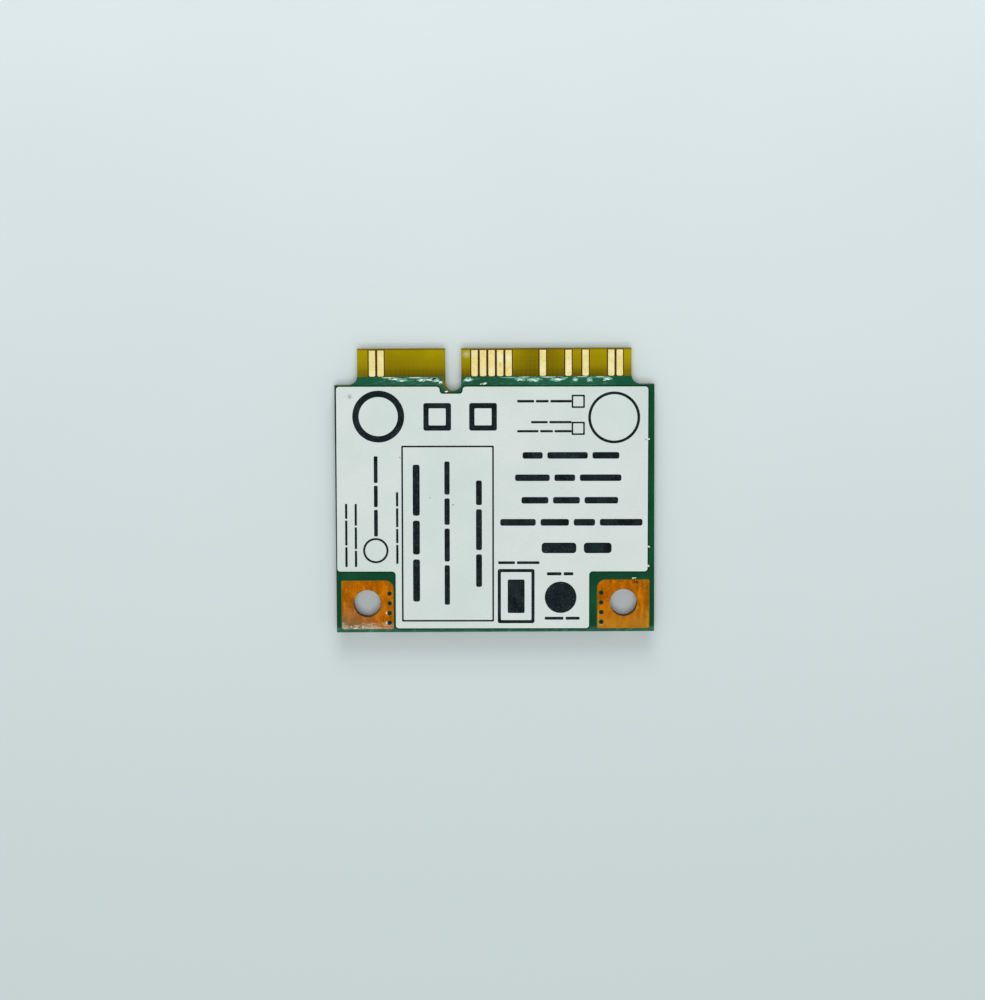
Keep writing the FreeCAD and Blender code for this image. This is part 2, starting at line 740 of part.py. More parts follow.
def make_socket_base(label, x):
    body = new_body(label)
    half_width = "dim.socket_base_width / 2"
    half_length = "dim.socket_base_length / 2"
    corners = rectangle(f"-{half_width}", f"-{half_length}", half_width, half_length)
    sketch = new_sketch(body)
    add_outline(sketch, corners)
    block = pad(body, sketch, "dim.socket_base_height")
    dress(body, block, "Chamfer", edges_of(block, is_upright), "dim.socket_base_chamfer")
    boss = new_sketch(body, offset="dim.socket_base_height")
    add_circle(boss, "0", "0", "dim.socket_ring_bore - 2 * dim.socket_clearance")
    pad(body, boss, "dim.socket_boss_height")
    bore = new_sketch(body)
    add_circle(bore, "0", "0", "dim.socket_pin_diameter + 2 * dim.socket_clearance")
    pocket(body, bore)
    slot_half = "(dim.socket_tail_width / 2 + dim.socket_clearance)"
    slot = new_sketch(body)
    add_outline(slot, rectangle(f"-{slot_half}", f"-{half_length}", slot_half, "0"))
    pocket(body, slot, "dim.socket_sheet + dim.socket_clearance", upwards=True)
    hang(body, x)


def make_socket_shell(label, x):
    """A turned ring, on a plate that folds down to a foot on each side."""
    body = new_body(label)
    plate_top = "(dim.socket_base_height + dim.socket_sheet)"
    wing_inside = "(dim.socket_base_width / 2 + dim.socket_clearance)"
    wing_outside = f"({wing_inside} + dim.socket_sheet)"
    half_wing = "dim.socket_wing_width / 2"
    plate = new_sketch(body, offset="dim.socket_base_height")
    add_outline(plate, rectangle(f"-{wing_outside}", f"-{half_wing}", wing_outside, half_wing))
    add_circle(plate, "0", "0", "dim.socket_ring_bore")
    pad(body, plate, "dim.socket_sheet")
    wings = new_sketch(body)
    feet = new_sketch(body)
    for side in SIDES.values():
        inside = f"{side} * {wing_inside}"
        add_outline(wings, rectangle(inside, f"-{half_wing}", f"{side} * {wing_outside}", half_wing))
        toe = f"{side} * ({wing_inside} + dim.socket_foot_reach)"
        add_outline(feet, rectangle(inside, f"-{half_wing}", toe, half_wing))
    pad(body, wings, plate_top)
    pad(body, feet, "dim.socket_sheet")
    bore = "dim.socket_ring_bore / 2"
    outside = "dim.socket_ring_diameter / 2"
    bevel = "dim.socket_ring_bevel"
    profile = new_sketch(body, "XZ_Plane")
    ring = [(bore, "dim.socket_base_height"), (outside, "dim.socket_base_height")]
    ring += [(outside, f"dim.socket_height - {bevel}"), (f"{outside} - {bevel}", "dim.socket_height")]
    ring += [(bore, "dim.socket_height")]
    add_outline(profile, ring)
    turned = body.newObject("PartDesign::Revolution", f"{label}_ring")
    turned.Profile = profile
    turned.ReferenceAxis = (profile, ["V_Axis"])
    doc.recompute()
    hang(body, x)


def make_socket_pin(label, x):
    body = new_body(label)
    shaft = new_sketch(body)
    add_circle(shaft, "0", "0", "dim.socket_pin_diameter")
    post = pad(body, shaft, "dim.socket_pin_height")
    top = number("dim.socket_pin_height")
    rim = edges_of(post, lambda edge: is_level_at(edge, top))
    dress(body, post, "Chamfer", rim, "dim.socket_pin_bevel")
    tail = new_sketch(body)
    half = "dim.socket_tail_width / 2"
    end = "-(dim.socket_base_length / 2 + dim.socket_tail_reach)"
    add_outline(tail, rectangle(f"-{half}", end, half, "0"))
    pad(body, tail, "dim.socket_sheet")
    hang(body, x)


def make_socket(name, x):
    make_socket_base(f"{name}_socket_base", x)
    make_socket_shell(f"{name}_socket_shell", x)
    make_socket_pin(f"{name}_socket_pin", x)
    foot = "(dim.socket_foot_reach + 2 * dim.land_side)"
    foot_x = "(dim.socket_base_width / 2 + dim.socket_clearance + dim.socket_foot_reach / 2)"
    for side in SIDES.values():
        add_land(f"({x} + {side} * {foot_x})", SOCKET_Y, foot, "(dim.socket_wing_width + 2 * dim.land_side)")
    tail_land = "(2 * dim.socket_tail_reach + dim.land_toe)"
    tail_y = f"({SOCKET_Y} + dim.socket_base_length / 2 + dim.land_toe / 2)"
    add_land(x, tail_y, "(dim.socket_tail_width + 2 * dim.land_side)", tail_land)


# Chips


def make_leadless_chip(name, x, y, leads_along_x, leads_along_y):
    """A flat package whose leads stand on the bare board through one long mask opening a side."""
    length, width = f"dim.{name}_length", f"dim.{name}_width"
    pitch = f"dim.{name}_pitch"
    lead_low = below("dim.lead_height")
    leads = []
    for sign in SIDES.values():
        edge_y = f"({y} + {sign} * ({width} - dim.lead_length) / 2)"
        edge_x = f"({x} + {sign} * ({length} - dim.lead_length) / 2)"
        for i in range(leads_along_x):
            place = f"({x} + {i - (leads_along_x - 1) / 2} * {pitch})"
            leads.append(Block(place, edge_y, "dim.lead_width", "dim.lead_length", lead_low, BOARD_LOW))
        for i in range(leads_along_y):
            place = f"({y} + {i - (leads_along_y - 1) / 2} * {pitch})"
            leads.append(Block(edge_x, place, "dim.lead_length", "dim.lead_width", lead_low, BOARD_LOW))
        margin = "2 * dim.lead_mask_gap"
        across = f"(dim.lead_length + {margin})"
        if leads_along_x:
            run = f"({leads_along_x - 1} * {pitch} + dim.lead_width + {margin})"
            open_mask(x, edge_y, run, across)
        if leads_along_y:
            run = f"({leads_along_y - 1} * {pitch} + dim.lead_width + {margin})"
            open_mask(edge_x, y, across, run)
    if leads_along_x and leads_along_y:
        inset = "2 * (dim.lead_length + dim.die_pad_gap)"
        pad_length, pad_width = f"({length} - {inset})", f"({width} - {inset})"
        leads.append(Block(x, y, pad_length, pad_width, lead_low, BOARD_LOW))
        open_mask(x, y, f"{pad_length} + 2 * dim.mask_clearance", f"{pad_width} + 2 * dim.mask_clearance")
    block_group(f"{name}_leads", leads)
    body_low = below(f"dim.lead_height + dim.{name}_height")
    keep(add_block(f"{name}_body", Block(x, y, length, width, body_low, lead_low)))


def make_crystal(x, y):
    """A ceramic tray on four lands, with a metal can over it."""
    base_low = below("dim.land_thickness + dim.crystal_base_height")
    can_low = below("dim.land_thickness + dim.crystal_base_height + dim.crystal_can_height")
    inset = "2 * dim.crystal_can_inset"
    base = Block(x, y, "dim.crystal_length", "dim.crystal_width", base_low, below("dim.land_thickness"))
    can_size = (f"(dim.crystal_length - {inset})", f"(dim.crystal_width - {inset})")
    can = Block(x, y, *can_size, can_low, base_low)
    keep(add_block("crystal_base", base))
    keep(add_block("crystal_can", can))
    for x_side in SIDES.values():
        for y_side in SIDES.values():
            land_x = f"({x} + {x_side} * (dim.crystal_length - dim.crystal_land_length) / 2)"
            land_y = f"({y} + {y_side} * (dim.crystal_width - dim.crystal_land_width) / 2)"
            add_land(land_x, land_y, "dim.crystal_land_length", "dim.crystal_land_width")


def place_chip_part(kind, x, y, turned=False):
    """A block between two terminals in one mask opening, along X, or along Y where it is turned."""
    length, width = f"dim.{kind}_length", f"dim.{kind}_width"
    terminal = f"dim.{kind}_terminal"
    top = f"dim.land_thickness + dim.{kind}_height"
    middle_size = (f"({length} - 2 * {terminal})", f"({width} - 2 * dim.terminal_wrap)")
    opening_size = (f"({length} + 2 * dim.land_toe)", f"({width} + 2 * dim.land_side)")
    end_shift = f"({length} - {terminal}) / 2"

    def turn(pair):
        return pair[::-1] if turned else pair

    bodies, ends = chip_blocks.setdefault(kind, ([], []))
    middle_levels = below(f"{top} - dim.terminal_wrap"), below("dim.land_thickness + dim.terminal_wrap")
    bodies.append(Block(x, y, *turn(middle_size), *middle_levels))
    for sign in SIDES.values():
        spot = (x, f"({y} + {sign} * {end_shift})") if turned else (f"({x} + {sign} * {end_shift})", y)
        ends.append(Block(*spot, *turn((terminal, width)), below(top), BOARD_LOW))
    open_mask(x, y, *turn(opening_size))


def place_row(pattern, x, y, along_y=False):
    """Small parts side by side, centred on a place, each standing across its row."""
    for i, letter in enumerate(pattern):
        if letter in KINDS:
            step = f"{i - (len(pattern) - 1) / 2} * dim.row_pitch"
            spot = (x, f"({y} + {step})") if along_y else (f"({x} + {step})", y)
            place_chip_part(KINDS[letter], *spot, turned=not along_y)


def make_chip_parts():
    """Every small part: in the open in front of and behind the shield, then under it."""
    front_row = f"({SHIELD_FRONT} + dim.front_row_share * ({MASK_FRONT} - {SHIELD_FRONT}))"
    place_row(FRONT_ROW, "0", front_row)
    for side in SIDES.values():
        place_chip_part("bulk_capacitor", f"({side} * ({SIDE} - dim.bulk_side_margin))", front_row)
    rear_row = f"({SHIELD_REAR} - dim.rear_row_gap)"
    for side in SIDES.values():
        place_row(SOCKET_ROW, f"({side} * dim.socket_offset)", rear_row)
    place_row(MIDDLE_ROW, "0", f"({rear_row} - 2 * dim.row_pitch)")
    chip_x = "(-dim.radio_chip_offset)"
    half = "dim.radio_chip_length / 2"
    place_row(CHIP_ROW, chip_x, INNER_FRONT_ROW)
    place_row(RIGHT_COLUMN, f"({chip_x} + {half} + dim.column_gap)", SHIELD_Y, along_y=True)
    left_column = f"({chip_x} - {half} - dim.column_gap)"
    place_row(LEFT_COLUMN, left_column, SHIELD_Y, along_y=True)
    supply_x = f"({left_column} - dim.supply_gap)"
    supply_y = f"({SHIELD_Y} + dim.supply_forward)"
    place_chip_part("power_inductor", supply_x, supply_y)
    place_chip_part("bulk_capacitor", supply_x, f"({supply_y} - dim.supply_spacing)")
    for side in SIDES.values():
        place_chip_part("band_filter", f"({chip_x} + {side} * dim.filter_spacing)", INNER_REAR_ROW)
    for kind, (bodies, ends) in chip_blocks.items():
        block_group(f"{kind}_bodies", bodies)
        block_group(f"{kind}_terminals", ends)


def make_chips():
    chip_x = "(-dim.radio_chip_offset)"
    make_leadless_chip("radio_chip", chip_x, SHIELD_Y, RADIO_LEAD_COUNT, RADIO_LEAD_COUNT)
    memory_x = f"({SHIELD_SIDE} - dim.memory_side_margin)"
    make_leadless_chip("memory_chip", memory_x, f"({SHIELD_Y} - dim.memory_back)", 0, MEMORY_LEAD_COUNT)
    make_leadless_chip("antenna_switch", chip_x, INNER_REAR_ROW, SWITCH_LEAD_COUNT, 0)
    column_x = f"({chip_x} + dim.radio_chip_length / 2 + dim.column_gap)"
    make_crystal(f"({column_x} + dim.crystal_gap)", f"({SHIELD_Y} + dim.crystal_forward)")


make_laminate()
make_label_side_mask()
copper_low = below("dim.copper_thickness")
make_contacts("label_side_contacts", LABEL_SIDE_PLACES, BOARD_HIGH)
make_contacts("component_side_contacts", COMPONENT_SIDE_PLACES, copper_low, "dim.contact_stagger")
for side_name, side_sign in SIDES.items():
    make_screw_pad(f"label_{side_name}_screw_pad", side_sign, BOARD_HIGH)
    make_screw_pad(f"component_{side_name}_screw_pad", side_sign, copper_low)
make_label()
make_shield_frame()
make_shield_lid()
make_socket("main", "(-dim.socket_offset)")
make_socket("second", "dim.socket_offset")
make_chips()
make_chip_parts()
make_component_side_mask()
block_group("solder_lands", land_blocks)

doc.recompute()
for item in doc.Objects:
    if {"Invalid", "Error"} & set(item.State):
        raise RuntimeError(f"{item.Name} did not build: {item.State}")
for node in nodes:
    if node.Shape.isNull() or not node.Shape.isValid():
        raise RuntimeError(f"{node.Label} has no valid shape")

os.makedirs("parts", exist_ok=True)
for node in nodes:
    node.Shape.exportStep(f"parts/{node.Label}.step")
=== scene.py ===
"""Looks of the half-size mini card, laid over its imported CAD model.

Lengths are millimetres in the card's own frame, and become metres where a mesh, lamp or camera is made.
The label side faces up and the component side faces the floor.
"""
import json
import math
import random

import bmesh
import bpy
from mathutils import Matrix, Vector


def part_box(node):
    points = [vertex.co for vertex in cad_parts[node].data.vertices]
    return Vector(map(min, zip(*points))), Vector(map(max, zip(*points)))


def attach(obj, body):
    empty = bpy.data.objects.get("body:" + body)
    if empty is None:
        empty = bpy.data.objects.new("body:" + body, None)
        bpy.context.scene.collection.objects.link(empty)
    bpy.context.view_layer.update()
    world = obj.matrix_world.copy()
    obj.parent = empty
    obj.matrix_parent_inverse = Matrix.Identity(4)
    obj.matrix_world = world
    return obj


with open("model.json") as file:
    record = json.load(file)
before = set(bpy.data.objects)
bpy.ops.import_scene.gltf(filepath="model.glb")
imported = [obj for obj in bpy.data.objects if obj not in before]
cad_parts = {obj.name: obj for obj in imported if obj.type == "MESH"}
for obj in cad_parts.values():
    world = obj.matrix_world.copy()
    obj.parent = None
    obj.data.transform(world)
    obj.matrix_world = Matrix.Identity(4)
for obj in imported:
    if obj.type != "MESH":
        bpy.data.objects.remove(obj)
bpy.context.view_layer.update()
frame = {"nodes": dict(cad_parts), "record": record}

MM = 0.001


# Levels and places, from the CAD

def corners(node):
    """The lowest and highest corners of a CAD node, in millimetres."""
    return [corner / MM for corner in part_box(node)]


def mount_place(name):
    """The place of a mount of the card, in plan."""
    return [value / MM for value in MOUNTS[name]["pos_m"][:2]]


MOUNTS = {mount["name"]: mount for mount in frame["record"]["mounts"]}
HOLES = [mount_place(name) for name in ("left_screw_hole", "right_screw_hole")]
HOLE_RADIUS = MOUNTS["left_screw_hole"]["dims"]["r_mm"]
SOCKETS = [mount_place(name) for name in ("main_antenna_socket", "second_antenna_socket")]

LABEL_TOP = corners("label")[1].z
MASK_SIDE, MASK_FRONT, MASK_TOP = corners("label_side_mask")[1]
COPPER_TOP = corners("label_left_screw_pad")[1].z
LAMINATE_BOTTOM, LAMINATE_TOP = [corner.z for corner in corners("laminate")]
COPPER_BOTTOM = corners("component_left_screw_pad")[0].z
MASK_BOTTOM = corners("component_side_mask")[0].z
SHIELD_LOW, SHIELD_HIGH = corners("shield_frame")

# The rounded end of the key slot, and the label's small turn
KEY_X = -3.85
KEY_Y = 10.15
KEY_RADIUS = 0.755
LABEL_TURN = math.radians(-0.2)


# Materials

def rgb(red, green, blue):
    """A colour given as on a screen, from 0 to 255, turned into the linear values that shaders take."""
    shares = [value / 255 for value in (red, green, blue)]
    linear = [s / 12.92 if s <= 0.04045 else ((s + 0.055) / 1.055) ** 2.4 for s in shares]
    return (*linear, 1.0)


def add_node(tree, kind, inputs, **settings):
    """A new shader node with its settings made and its inputs set or linked."""
    made = tree.nodes.new("ShaderNode" + kind)
    for name, value in settings.items():
        setattr(made, name, value)
    for name, value in inputs.items():
        if isinstance(value, bpy.types.NodeSocket):
            tree.links.new(value, made.inputs[name])
        else:
            made.inputs[name].default_value = value
    return made


class Look:
    """A node material in the making, with textures laid out in millimetres over the card."""

    def __init__(self, name, **sockets):
        self.material = bpy.data.materials.new(name)
        self.material.use_nodes = True
        self.tree = self.material.node_tree
        self.shader = self.tree.nodes["Principled BSDF"]
        for socket, value in sockets.items():
            self.shader.inputs[socket.replace("_", " ")].default_value = value
        place = self.node("TexCoord", {}).outputs["Object"]
        scale = (1 / MM, 1 / MM, 1 / MM)
        self.place = self.node("VectorMath", {0: place, 1: scale}, operation="MULTIPLY").outputs["Vector"]

    def node(self, kind, inputs, **settings):
        """A new node of this material."""
        return add_node(self.tree, kind, inputs, **settings)

    def noise(self, size, stretch=(1, 1, 1), detail=3.0, shift=0.0):
        """Clouds about that many millimetres across, drawn out along an axis by stretch."""
        scale = [1 / (size * s) for s in stretch]
        inputs = {"Vector": self.place, "Location": (shift, shift, shift), "Scale": scale}
        place = self.node("Mapping", inputs).outputs["Vector"]
        return self.node("TexNoise", {"Vector": place, "Scale": 1.0, "Detail": detail}).outputs["Fac"]

    def bands(self, direction, period):
        """Smooth stripes across one axis, one to each period."""
        scale = math.pi / 10 / period
        inputs = {"Vector": self.place, "Scale": scale, "Distortion": 1.2, "Detail Scale": 0.8}
        return self.node("TexWave", inputs, bands_direction=direction).outputs["Fac"]

    def axis(self, letter):
        """One coordinate of the card."""
        return self.node("SeparateXYZ", {"Vector": self.place}).outputs[letter]

    def away(self, letter, middle=0.0):
        """How far a place lies from a level on one axis."""
        return self.combine("ABSOLUTE", self.combine("SUBTRACT", self.axis(letter), middle), 0.0)

    def patch(self, middle, inner, outer, share):
        """A round patch: share out to inner, and fading from there to nothing at outer."""
        off = self.node("VectorMath", {0: self.place, 1: middle}, operation="DISTANCE").outputs["Value"]
        return self.span(off, inner, outer, share, 0.0)

    def span(self, value, start, end, low=0.0, high=1.0):
        """A slope from low at start to high at end, level beyond both."""
        inputs = {"Value": value, "From Min": start, "From Max": end, "To Min": low, "To Max": high}
        return self.node("MapRange", inputs).outputs["Result"]

    def combine(self, operation, first, second):
        """One sum on two values."""
        return self.node("Math", {0: first, 1: second}, operation=operation).outputs["Value"]

    def times(self, first, *others):
        """The product of several values."""
        for other in others:
            first = self.combine("MULTIPLY", first, other)
        return first

    def mix(self, share, first, second):
        """The first colour where share is 0, and the second where it is 1."""
        return self.node("MixRGB", {"Fac": share, "Color1": first, "Color2": second}).outputs["Color"]

    def finish(self, colour, roughness, height, depth):
        """Joins colour, roughness and relief to the shader. Depth is the relief's own, in millimetres."""
        bump = self.node("Bump", {"Height": height, "Strength": 1.0, "Distance": depth * MM})
        ends = {"Base Color": colour, "Roughness": roughness, "Normal": bump.outputs["Normal"]}
        for socket, value in ends.items():
            self.tree.links.new(value, self.shader.inputs[socket])
        return self.material


def mottled(name, dark, light, patch, grain, rough, depth, stretch=(1, 1, 1), **sockets):
    """A surface of two close tones in soft patches, with a finer grain in its colour, gloss and relief."""
    look = Look(name, **sockets)
    clouds = look.noise(patch)
    fine = look.noise(grain, stretch, shift=7.3)
    broad = look.span(clouds, 0.34, 0.66, 0.0, 0.55)
    tone = look.combine("ADD", broad, look.span(fine, 0.32, 0.68, 0.0, 0.45))
    return look.finish(look.mix(tone, dark, light), look.span(fine, 0.3, 0.7, *rough), fine, depth)


def solder_mask():
    """Glossy green film, uneven over the copper that it covers, and paler along the front and the rear."""
    look = Look("solder_mask", Specular_IOR_Level=0.08)
    clouds = look.noise(3.2)
    fine = look.noise(0.22, shift=4.1)
    streaks = look.noise(0.16, (4, 1, 1), shift=6.4)
    outward = look.away("X")
    along = look.axis("Y")
    colour = look.mix(look.span(clouds, 0.36, 0.64), rgb(4, 68, 42), rgb(12, 88, 56))
    colour = look.mix(look.span(fine, 0.45, 0.75, 0.0, 0.4), colour, rgb(2, 52, 32))
    colour = look.mix(look.span(outward, 14.35, 14.6, 0.0, 0.6), colour, rgb(2, 66, 34))
    colour = look.mix(look.span(along, -7.0, -7.6, 0.0, 0.35), colour, rgb(2, 52, 31))
    front = look.times(look.span(along, 9.4, 9.9), look.span(outward, 10.4, 11.6, 1.0, 0.2),
                       look.span(look.axis("X"), -4.0, -3.0, 1.0, 0.5))
    ends = look.combine("MAXIMUM", front, look.span(along, -12.8, -13.05))
    pale = look.times(ends, look.span(clouds, 0.3, 0.7, 0.35, 0.8))
    colour = look.mix(pale, colour, rgb(46, 106, 84))
    worn = look.times(ends, look.span(streaks, 0.56, 0.7, 0.0, 0.4))
    colour = look.mix(worn, colour, rgb(120, 180, 158))
    return look.finish(colour, look.span(fine, 0.3, 0.7, 0.16, 0.3), fine, 0.003)


def laminate():
    """Glass cloth in amber resin, darker near the mask, with the inner layers showing at its edges, painted
    shade beside a contact on the left tab, and painted shade along the chamfered front edge.
    """
    look = Look("laminate", Specular_IOR_Level=0.03)
    weave = look.combine("MAXIMUM", look.bands("X", 0.42), look.bands("Y", 0.42))
    clouds = look.noise(4.5)
    fine = look.noise(0.16, shift=2.7)
    along = look.axis("Y")
    colour = look.mix(look.span(along, 11.2, 13.2), rgb(132, 118, 6), rgb(180, 165, 6))
    colour = look.mix(look.span(clouds, 0.42, 0.62, 0.0, 0.4), colour, rgb(136, 112, 4))
    # Darker bands across the tabs: the one at -9.0 is painted shade beside a contact, and the one at 4.2 is
    # only darker
    for middle, reach, share in ((4.2, 3.4, 0.75), (-9.0, 3.2, 0.35)):
        shade = look.span(look.away("X", middle), 0.8, reach, share, 0.0)
        colour = look.mix(shade, colour, rgb(106, 90, 4))
    near_mask = look.times(look.span(along, 11.7, 10.9, 0.0, 0.8), look.span(along, 9.0, 10.0),
                           look.span(look.away("X"), 9.5, 12.5, 1.0, 0.45))
    colour = look.mix(near_mask, colour, rgb(78, 74, 8))
    colour = look.mix(look.span(weave, 0.5, 1.0, 0.0, 0.08), colour, rgb(178, 156, 8))
    colour = look.mix(look.span(fine, 0.5, 0.72, 0.0, 0.2), colour, rgb(112, 92, 0))
    # Painted shade along the chamfered front edge
    colour = look.mix(look.span(along, 13.22, 13.34, 0.0, 0.7), colour, rgb(92, 66, 6))
    smudge = look.patch((-2.6, 12.86, LAMINATE_TOP), 0.1, 0.4, 0.9)
    smudge = look.times(smudge, look.span(fine, 0.35, 0.6, 0.4, 0.8))
    colour = look.mix(smudge, colour, rgb(206, 202, 168))
    for inner_layer in (1.84, 2.19):
        line = look.span(look.away("Z", inner_layer), 0.015, 0.03, 0.75, 0.0)
        colour = look.mix(line, colour, rgb(92, 50, 16))
    return look.finish(colour, look.span(clouds, 0.3, 0.7, 0.34, 0.52), weave, 0.004)


def contact_gold():
    """Hard gold plate: fine grained, with paler wear and small dark pits."""
    look = Look("contact_gold", Metallic=1.0)
    grain = look.noise(0.11)
    wear = look.noise(1.1, shift=3.3)
    drawn = look.noise(0.07, (1, 16, 1), shift=5.9)
    pits = look.noise(0.16, shift=9.1)
    colour = look.mix(look.span(grain, 0.36, 0.64), rgb(226, 207, 124), rgb(249, 235, 168))
    colour = look.mix(look.span(wear, 0.48, 0.7, 0.0, 0.7), colour, rgb(251, 242, 198))
    colour = look.mix(look.span(drawn, 0.55, 0.75, 0.0, 0.25), colour, rgb(206, 172, 84))
    colour = look.mix(look.span(pits, 0.68, 0.76, 0.0, 0.5), colour, rgb(168, 132, 52))
    return look.finish(colour, look.span(grain, 0.3, 0.7, 0.26, 0.46), grain, 0.0015)


def pad_copper():
    """Bare copper, mottled by handling, with tarnish spots, and pale residue on the label side's left pad."""
    look = Look("pad_copper", Metallic=1.0)
    clouds = look.noise(1.3)
    grain = look.noise(0.17, shift=6.2)
    spots = look.noise(0.5, shift=1.7)
    drawn = look.noise(0.45, (1, 3, 1), shift=3.1)
    crust = look.noise(0.55, (1.6, 1, 1), 5.0, 12.1)
    across = look.axis("X")
    outward = look.away("X")
    along = look.axis("Y")
    colour = look.mix(look.span(clouds, 0.36, 0.64), rgb(168, 90, 0), rgb(196, 109, 0))
    colour = look.mix(look.span(outward, 12.4, 14.6, 0.0, 0.55), colour, rgb(126, 80, 20))
    colour = look.mix(look.span(drawn, 0.5, 0.66, 0.0, 0.7), colour, rgb(222, 132, 12))
    colour = look.mix(look.span(drawn, 0.48, 0.34, 0.0, 0.6), colour, rgb(140, 76, 2))
    colour = look.mix(look.span(grain, 0.5, 0.72, 0.0, 0.4), colour, rgb(214, 132, 32))
    colour = look.mix(look.span(grain, 0.5, 0.3, 0.0, 0.35), colour, rgb(126, 70, 6))
    colour = look.mix(look.span(spots, 0.64, 0.74, 0.0, 0.6), colour, rgb(108, 62, 16))
    right_rear = look.times(look.span(along, -11.0, -12.4, 0.0, 0.5), look.span(across, 8.0, 9.0))
    colour = look.mix(right_rear, colour, rgb(186, 134, 42))
    left_pad = look.times(look.span(across, -8.0, -9.0), look.span(look.axis("Z"), 2.0, 2.2))
    veil = look.times(look.span(along, -10.6, -13.0, 0.0, 0.75), look.span(outward, 10.4, 13.6), left_pad)
    colour = look.mix(veil, colour, rgb(112, 104, 78))
    residue = look.span(look.combine("ADD", crust, look.span(along, -12.1, -13.0, 0.0, 0.5)), 0.74, 0.98)
    residue = look.times(residue, look.span(across, -10.6, -13.2, 0.4, 1.0), left_pad)
    pale = look.mix(look.span(grain, 0.4, 0.62), rgb(134, 122, 96), rgb(226, 226, 210))
    colour = look.mix(residue, colour, pale)
    return look.finish(colour, look.span(grain, 0.3, 0.7, 0.34, 0.54), grain, 0.003)


def label_paper():
    """Coated label stock with a faint fibre grain, a few grey specks and one smudge."""
    look = Look("label_paper", Specular_IOR_Level=0.25)
    clouds = look.noise(5.0)
    fibre = look.noise(0.12, (4, 1, 1), shift=2.2)
    specks = look.noise(0.3, shift=8.4)
    colour = look.mix(look.span(clouds, 0.36, 0.64), rgb(209, 222, 217), rgb(217, 228, 224))
    colour = look.mix(look.span(fibre, 0.5, 0.75, 0.0, 0.5), colour, rgb(203, 215, 210))
    colour = look.mix(look.span(specks, 0.72, 0.78, 0.0, 0.6), colour, rgb(176, 184, 178))
    smudge = look.patch((-13.58, 8.95, LABEL_TOP), 0.04, 0.34, 0.55)
    colour = look.mix(smudge, colour, rgb(142, 152, 148))
    return look.finish(colour, look.span(fibre, 0.3, 0.7, 0.5, 0.68), fibre, 0.0012)


def ink():
    """Black label ink, greyer where it is rubbed, with fine pale flecks."""
    look = Look("ink", Specular_IOR_Level=0.08)
    clouds = look.noise(1.2)
    fine = look.noise(0.1, shift=7.3)
    flecks = look.noise(0.13, shift=4.6)
    colour = look.mix(look.span(clouds, 0.34, 0.66), rgb(6, 14, 16), rgb(26, 38, 40))
    colour = look.mix(look.span(flecks, 0.6, 0.74, 0.0, 0.55), colour, rgb(92, 112, 116))
    return look.finish(colour, look.span(fine, 0.3, 0.7, 0.45, 0.62), fine, 0.0008)


def shield_sheet():
    """Tinned steel sheet with a fine rolling grain, dull patches and finger smudges."""
    look = Look("shield_sheet", Metallic=1.0)
    rolled = look.noise(0.05, (40, 1, 1))
    clouds = look.noise(3.5, shift=3.8)
    smudge = look.noise(1.4, shift=6.6)
    colour = look.mix(look.span(clouds, 0.36, 0.64), rgb(188, 188, 183), rgb(204, 204, 199))
    colour = look.mix(look.span(rolled, 0.5, 0.7, 0.0, 0.35), colour, rgb(166, 167, 163))
    colour = look.mix(look.span(smudge, 0.58, 0.74, 0.0, 0.25), colour, rgb(170, 168, 160))
    dull = look.span(smudge, 0.45, 0.7, 0.0, 0.16)
    roughness = look.combine("ADD", look.span(rolled, 0.3, 0.7, 0.2, 0.3), dull)
    return look.finish(colour, roughness, rolled, 0.0012)


def resistor_glaze():
    """A white ceramic chip whose outer face has a black glaze."""
    look = Look("resistor_glaze", Specular_IOR_Level=0.55)
    grain = look.noise(0.06)
    white = look.mix(look.span(grain, 0.35, 0.65), rgb(196, 194, 184), rgb(220, 218, 208))
    black = look.mix(look.span(grain, 0.35, 0.65), rgb(13, 13, 15), rgb(30, 30, 33))
    colour = look.mix(look.span(look.axis("Z"), 1.19, 1.23), black, white)
    return look.finish(colour, look.span(grain, 0.3, 0.7, 0.22, 0.42), grain, 0.002)


def floor_sheet():
    """Pale matt card, painted a little paler towards the light, as a falloff of light."""
    look = Look("floor_sheet", Specular_IOR_Level=0.2)
    clouds = look.noise(40.0)
    fine = look.noise(1.2, shift=5.5)
    # Painted falloff of light, paler towards the light at +Y
    painted_falloff = look.combine("POWER", look.span(look.axis("Y"), -60.0, 60.0), 1.5)
    colour = look.mix(painted_falloff, rgb(206, 219, 219), rgb(229, 241, 242))
    colour = look.mix(look.span(clouds, 0.35, 0.65, 0.0, 0.2), colour, rgb(208, 220, 221))
    return look.finish(colour, look.span(fine, 0.3, 0.7, 0.6, 0.75), fine, 0.01)


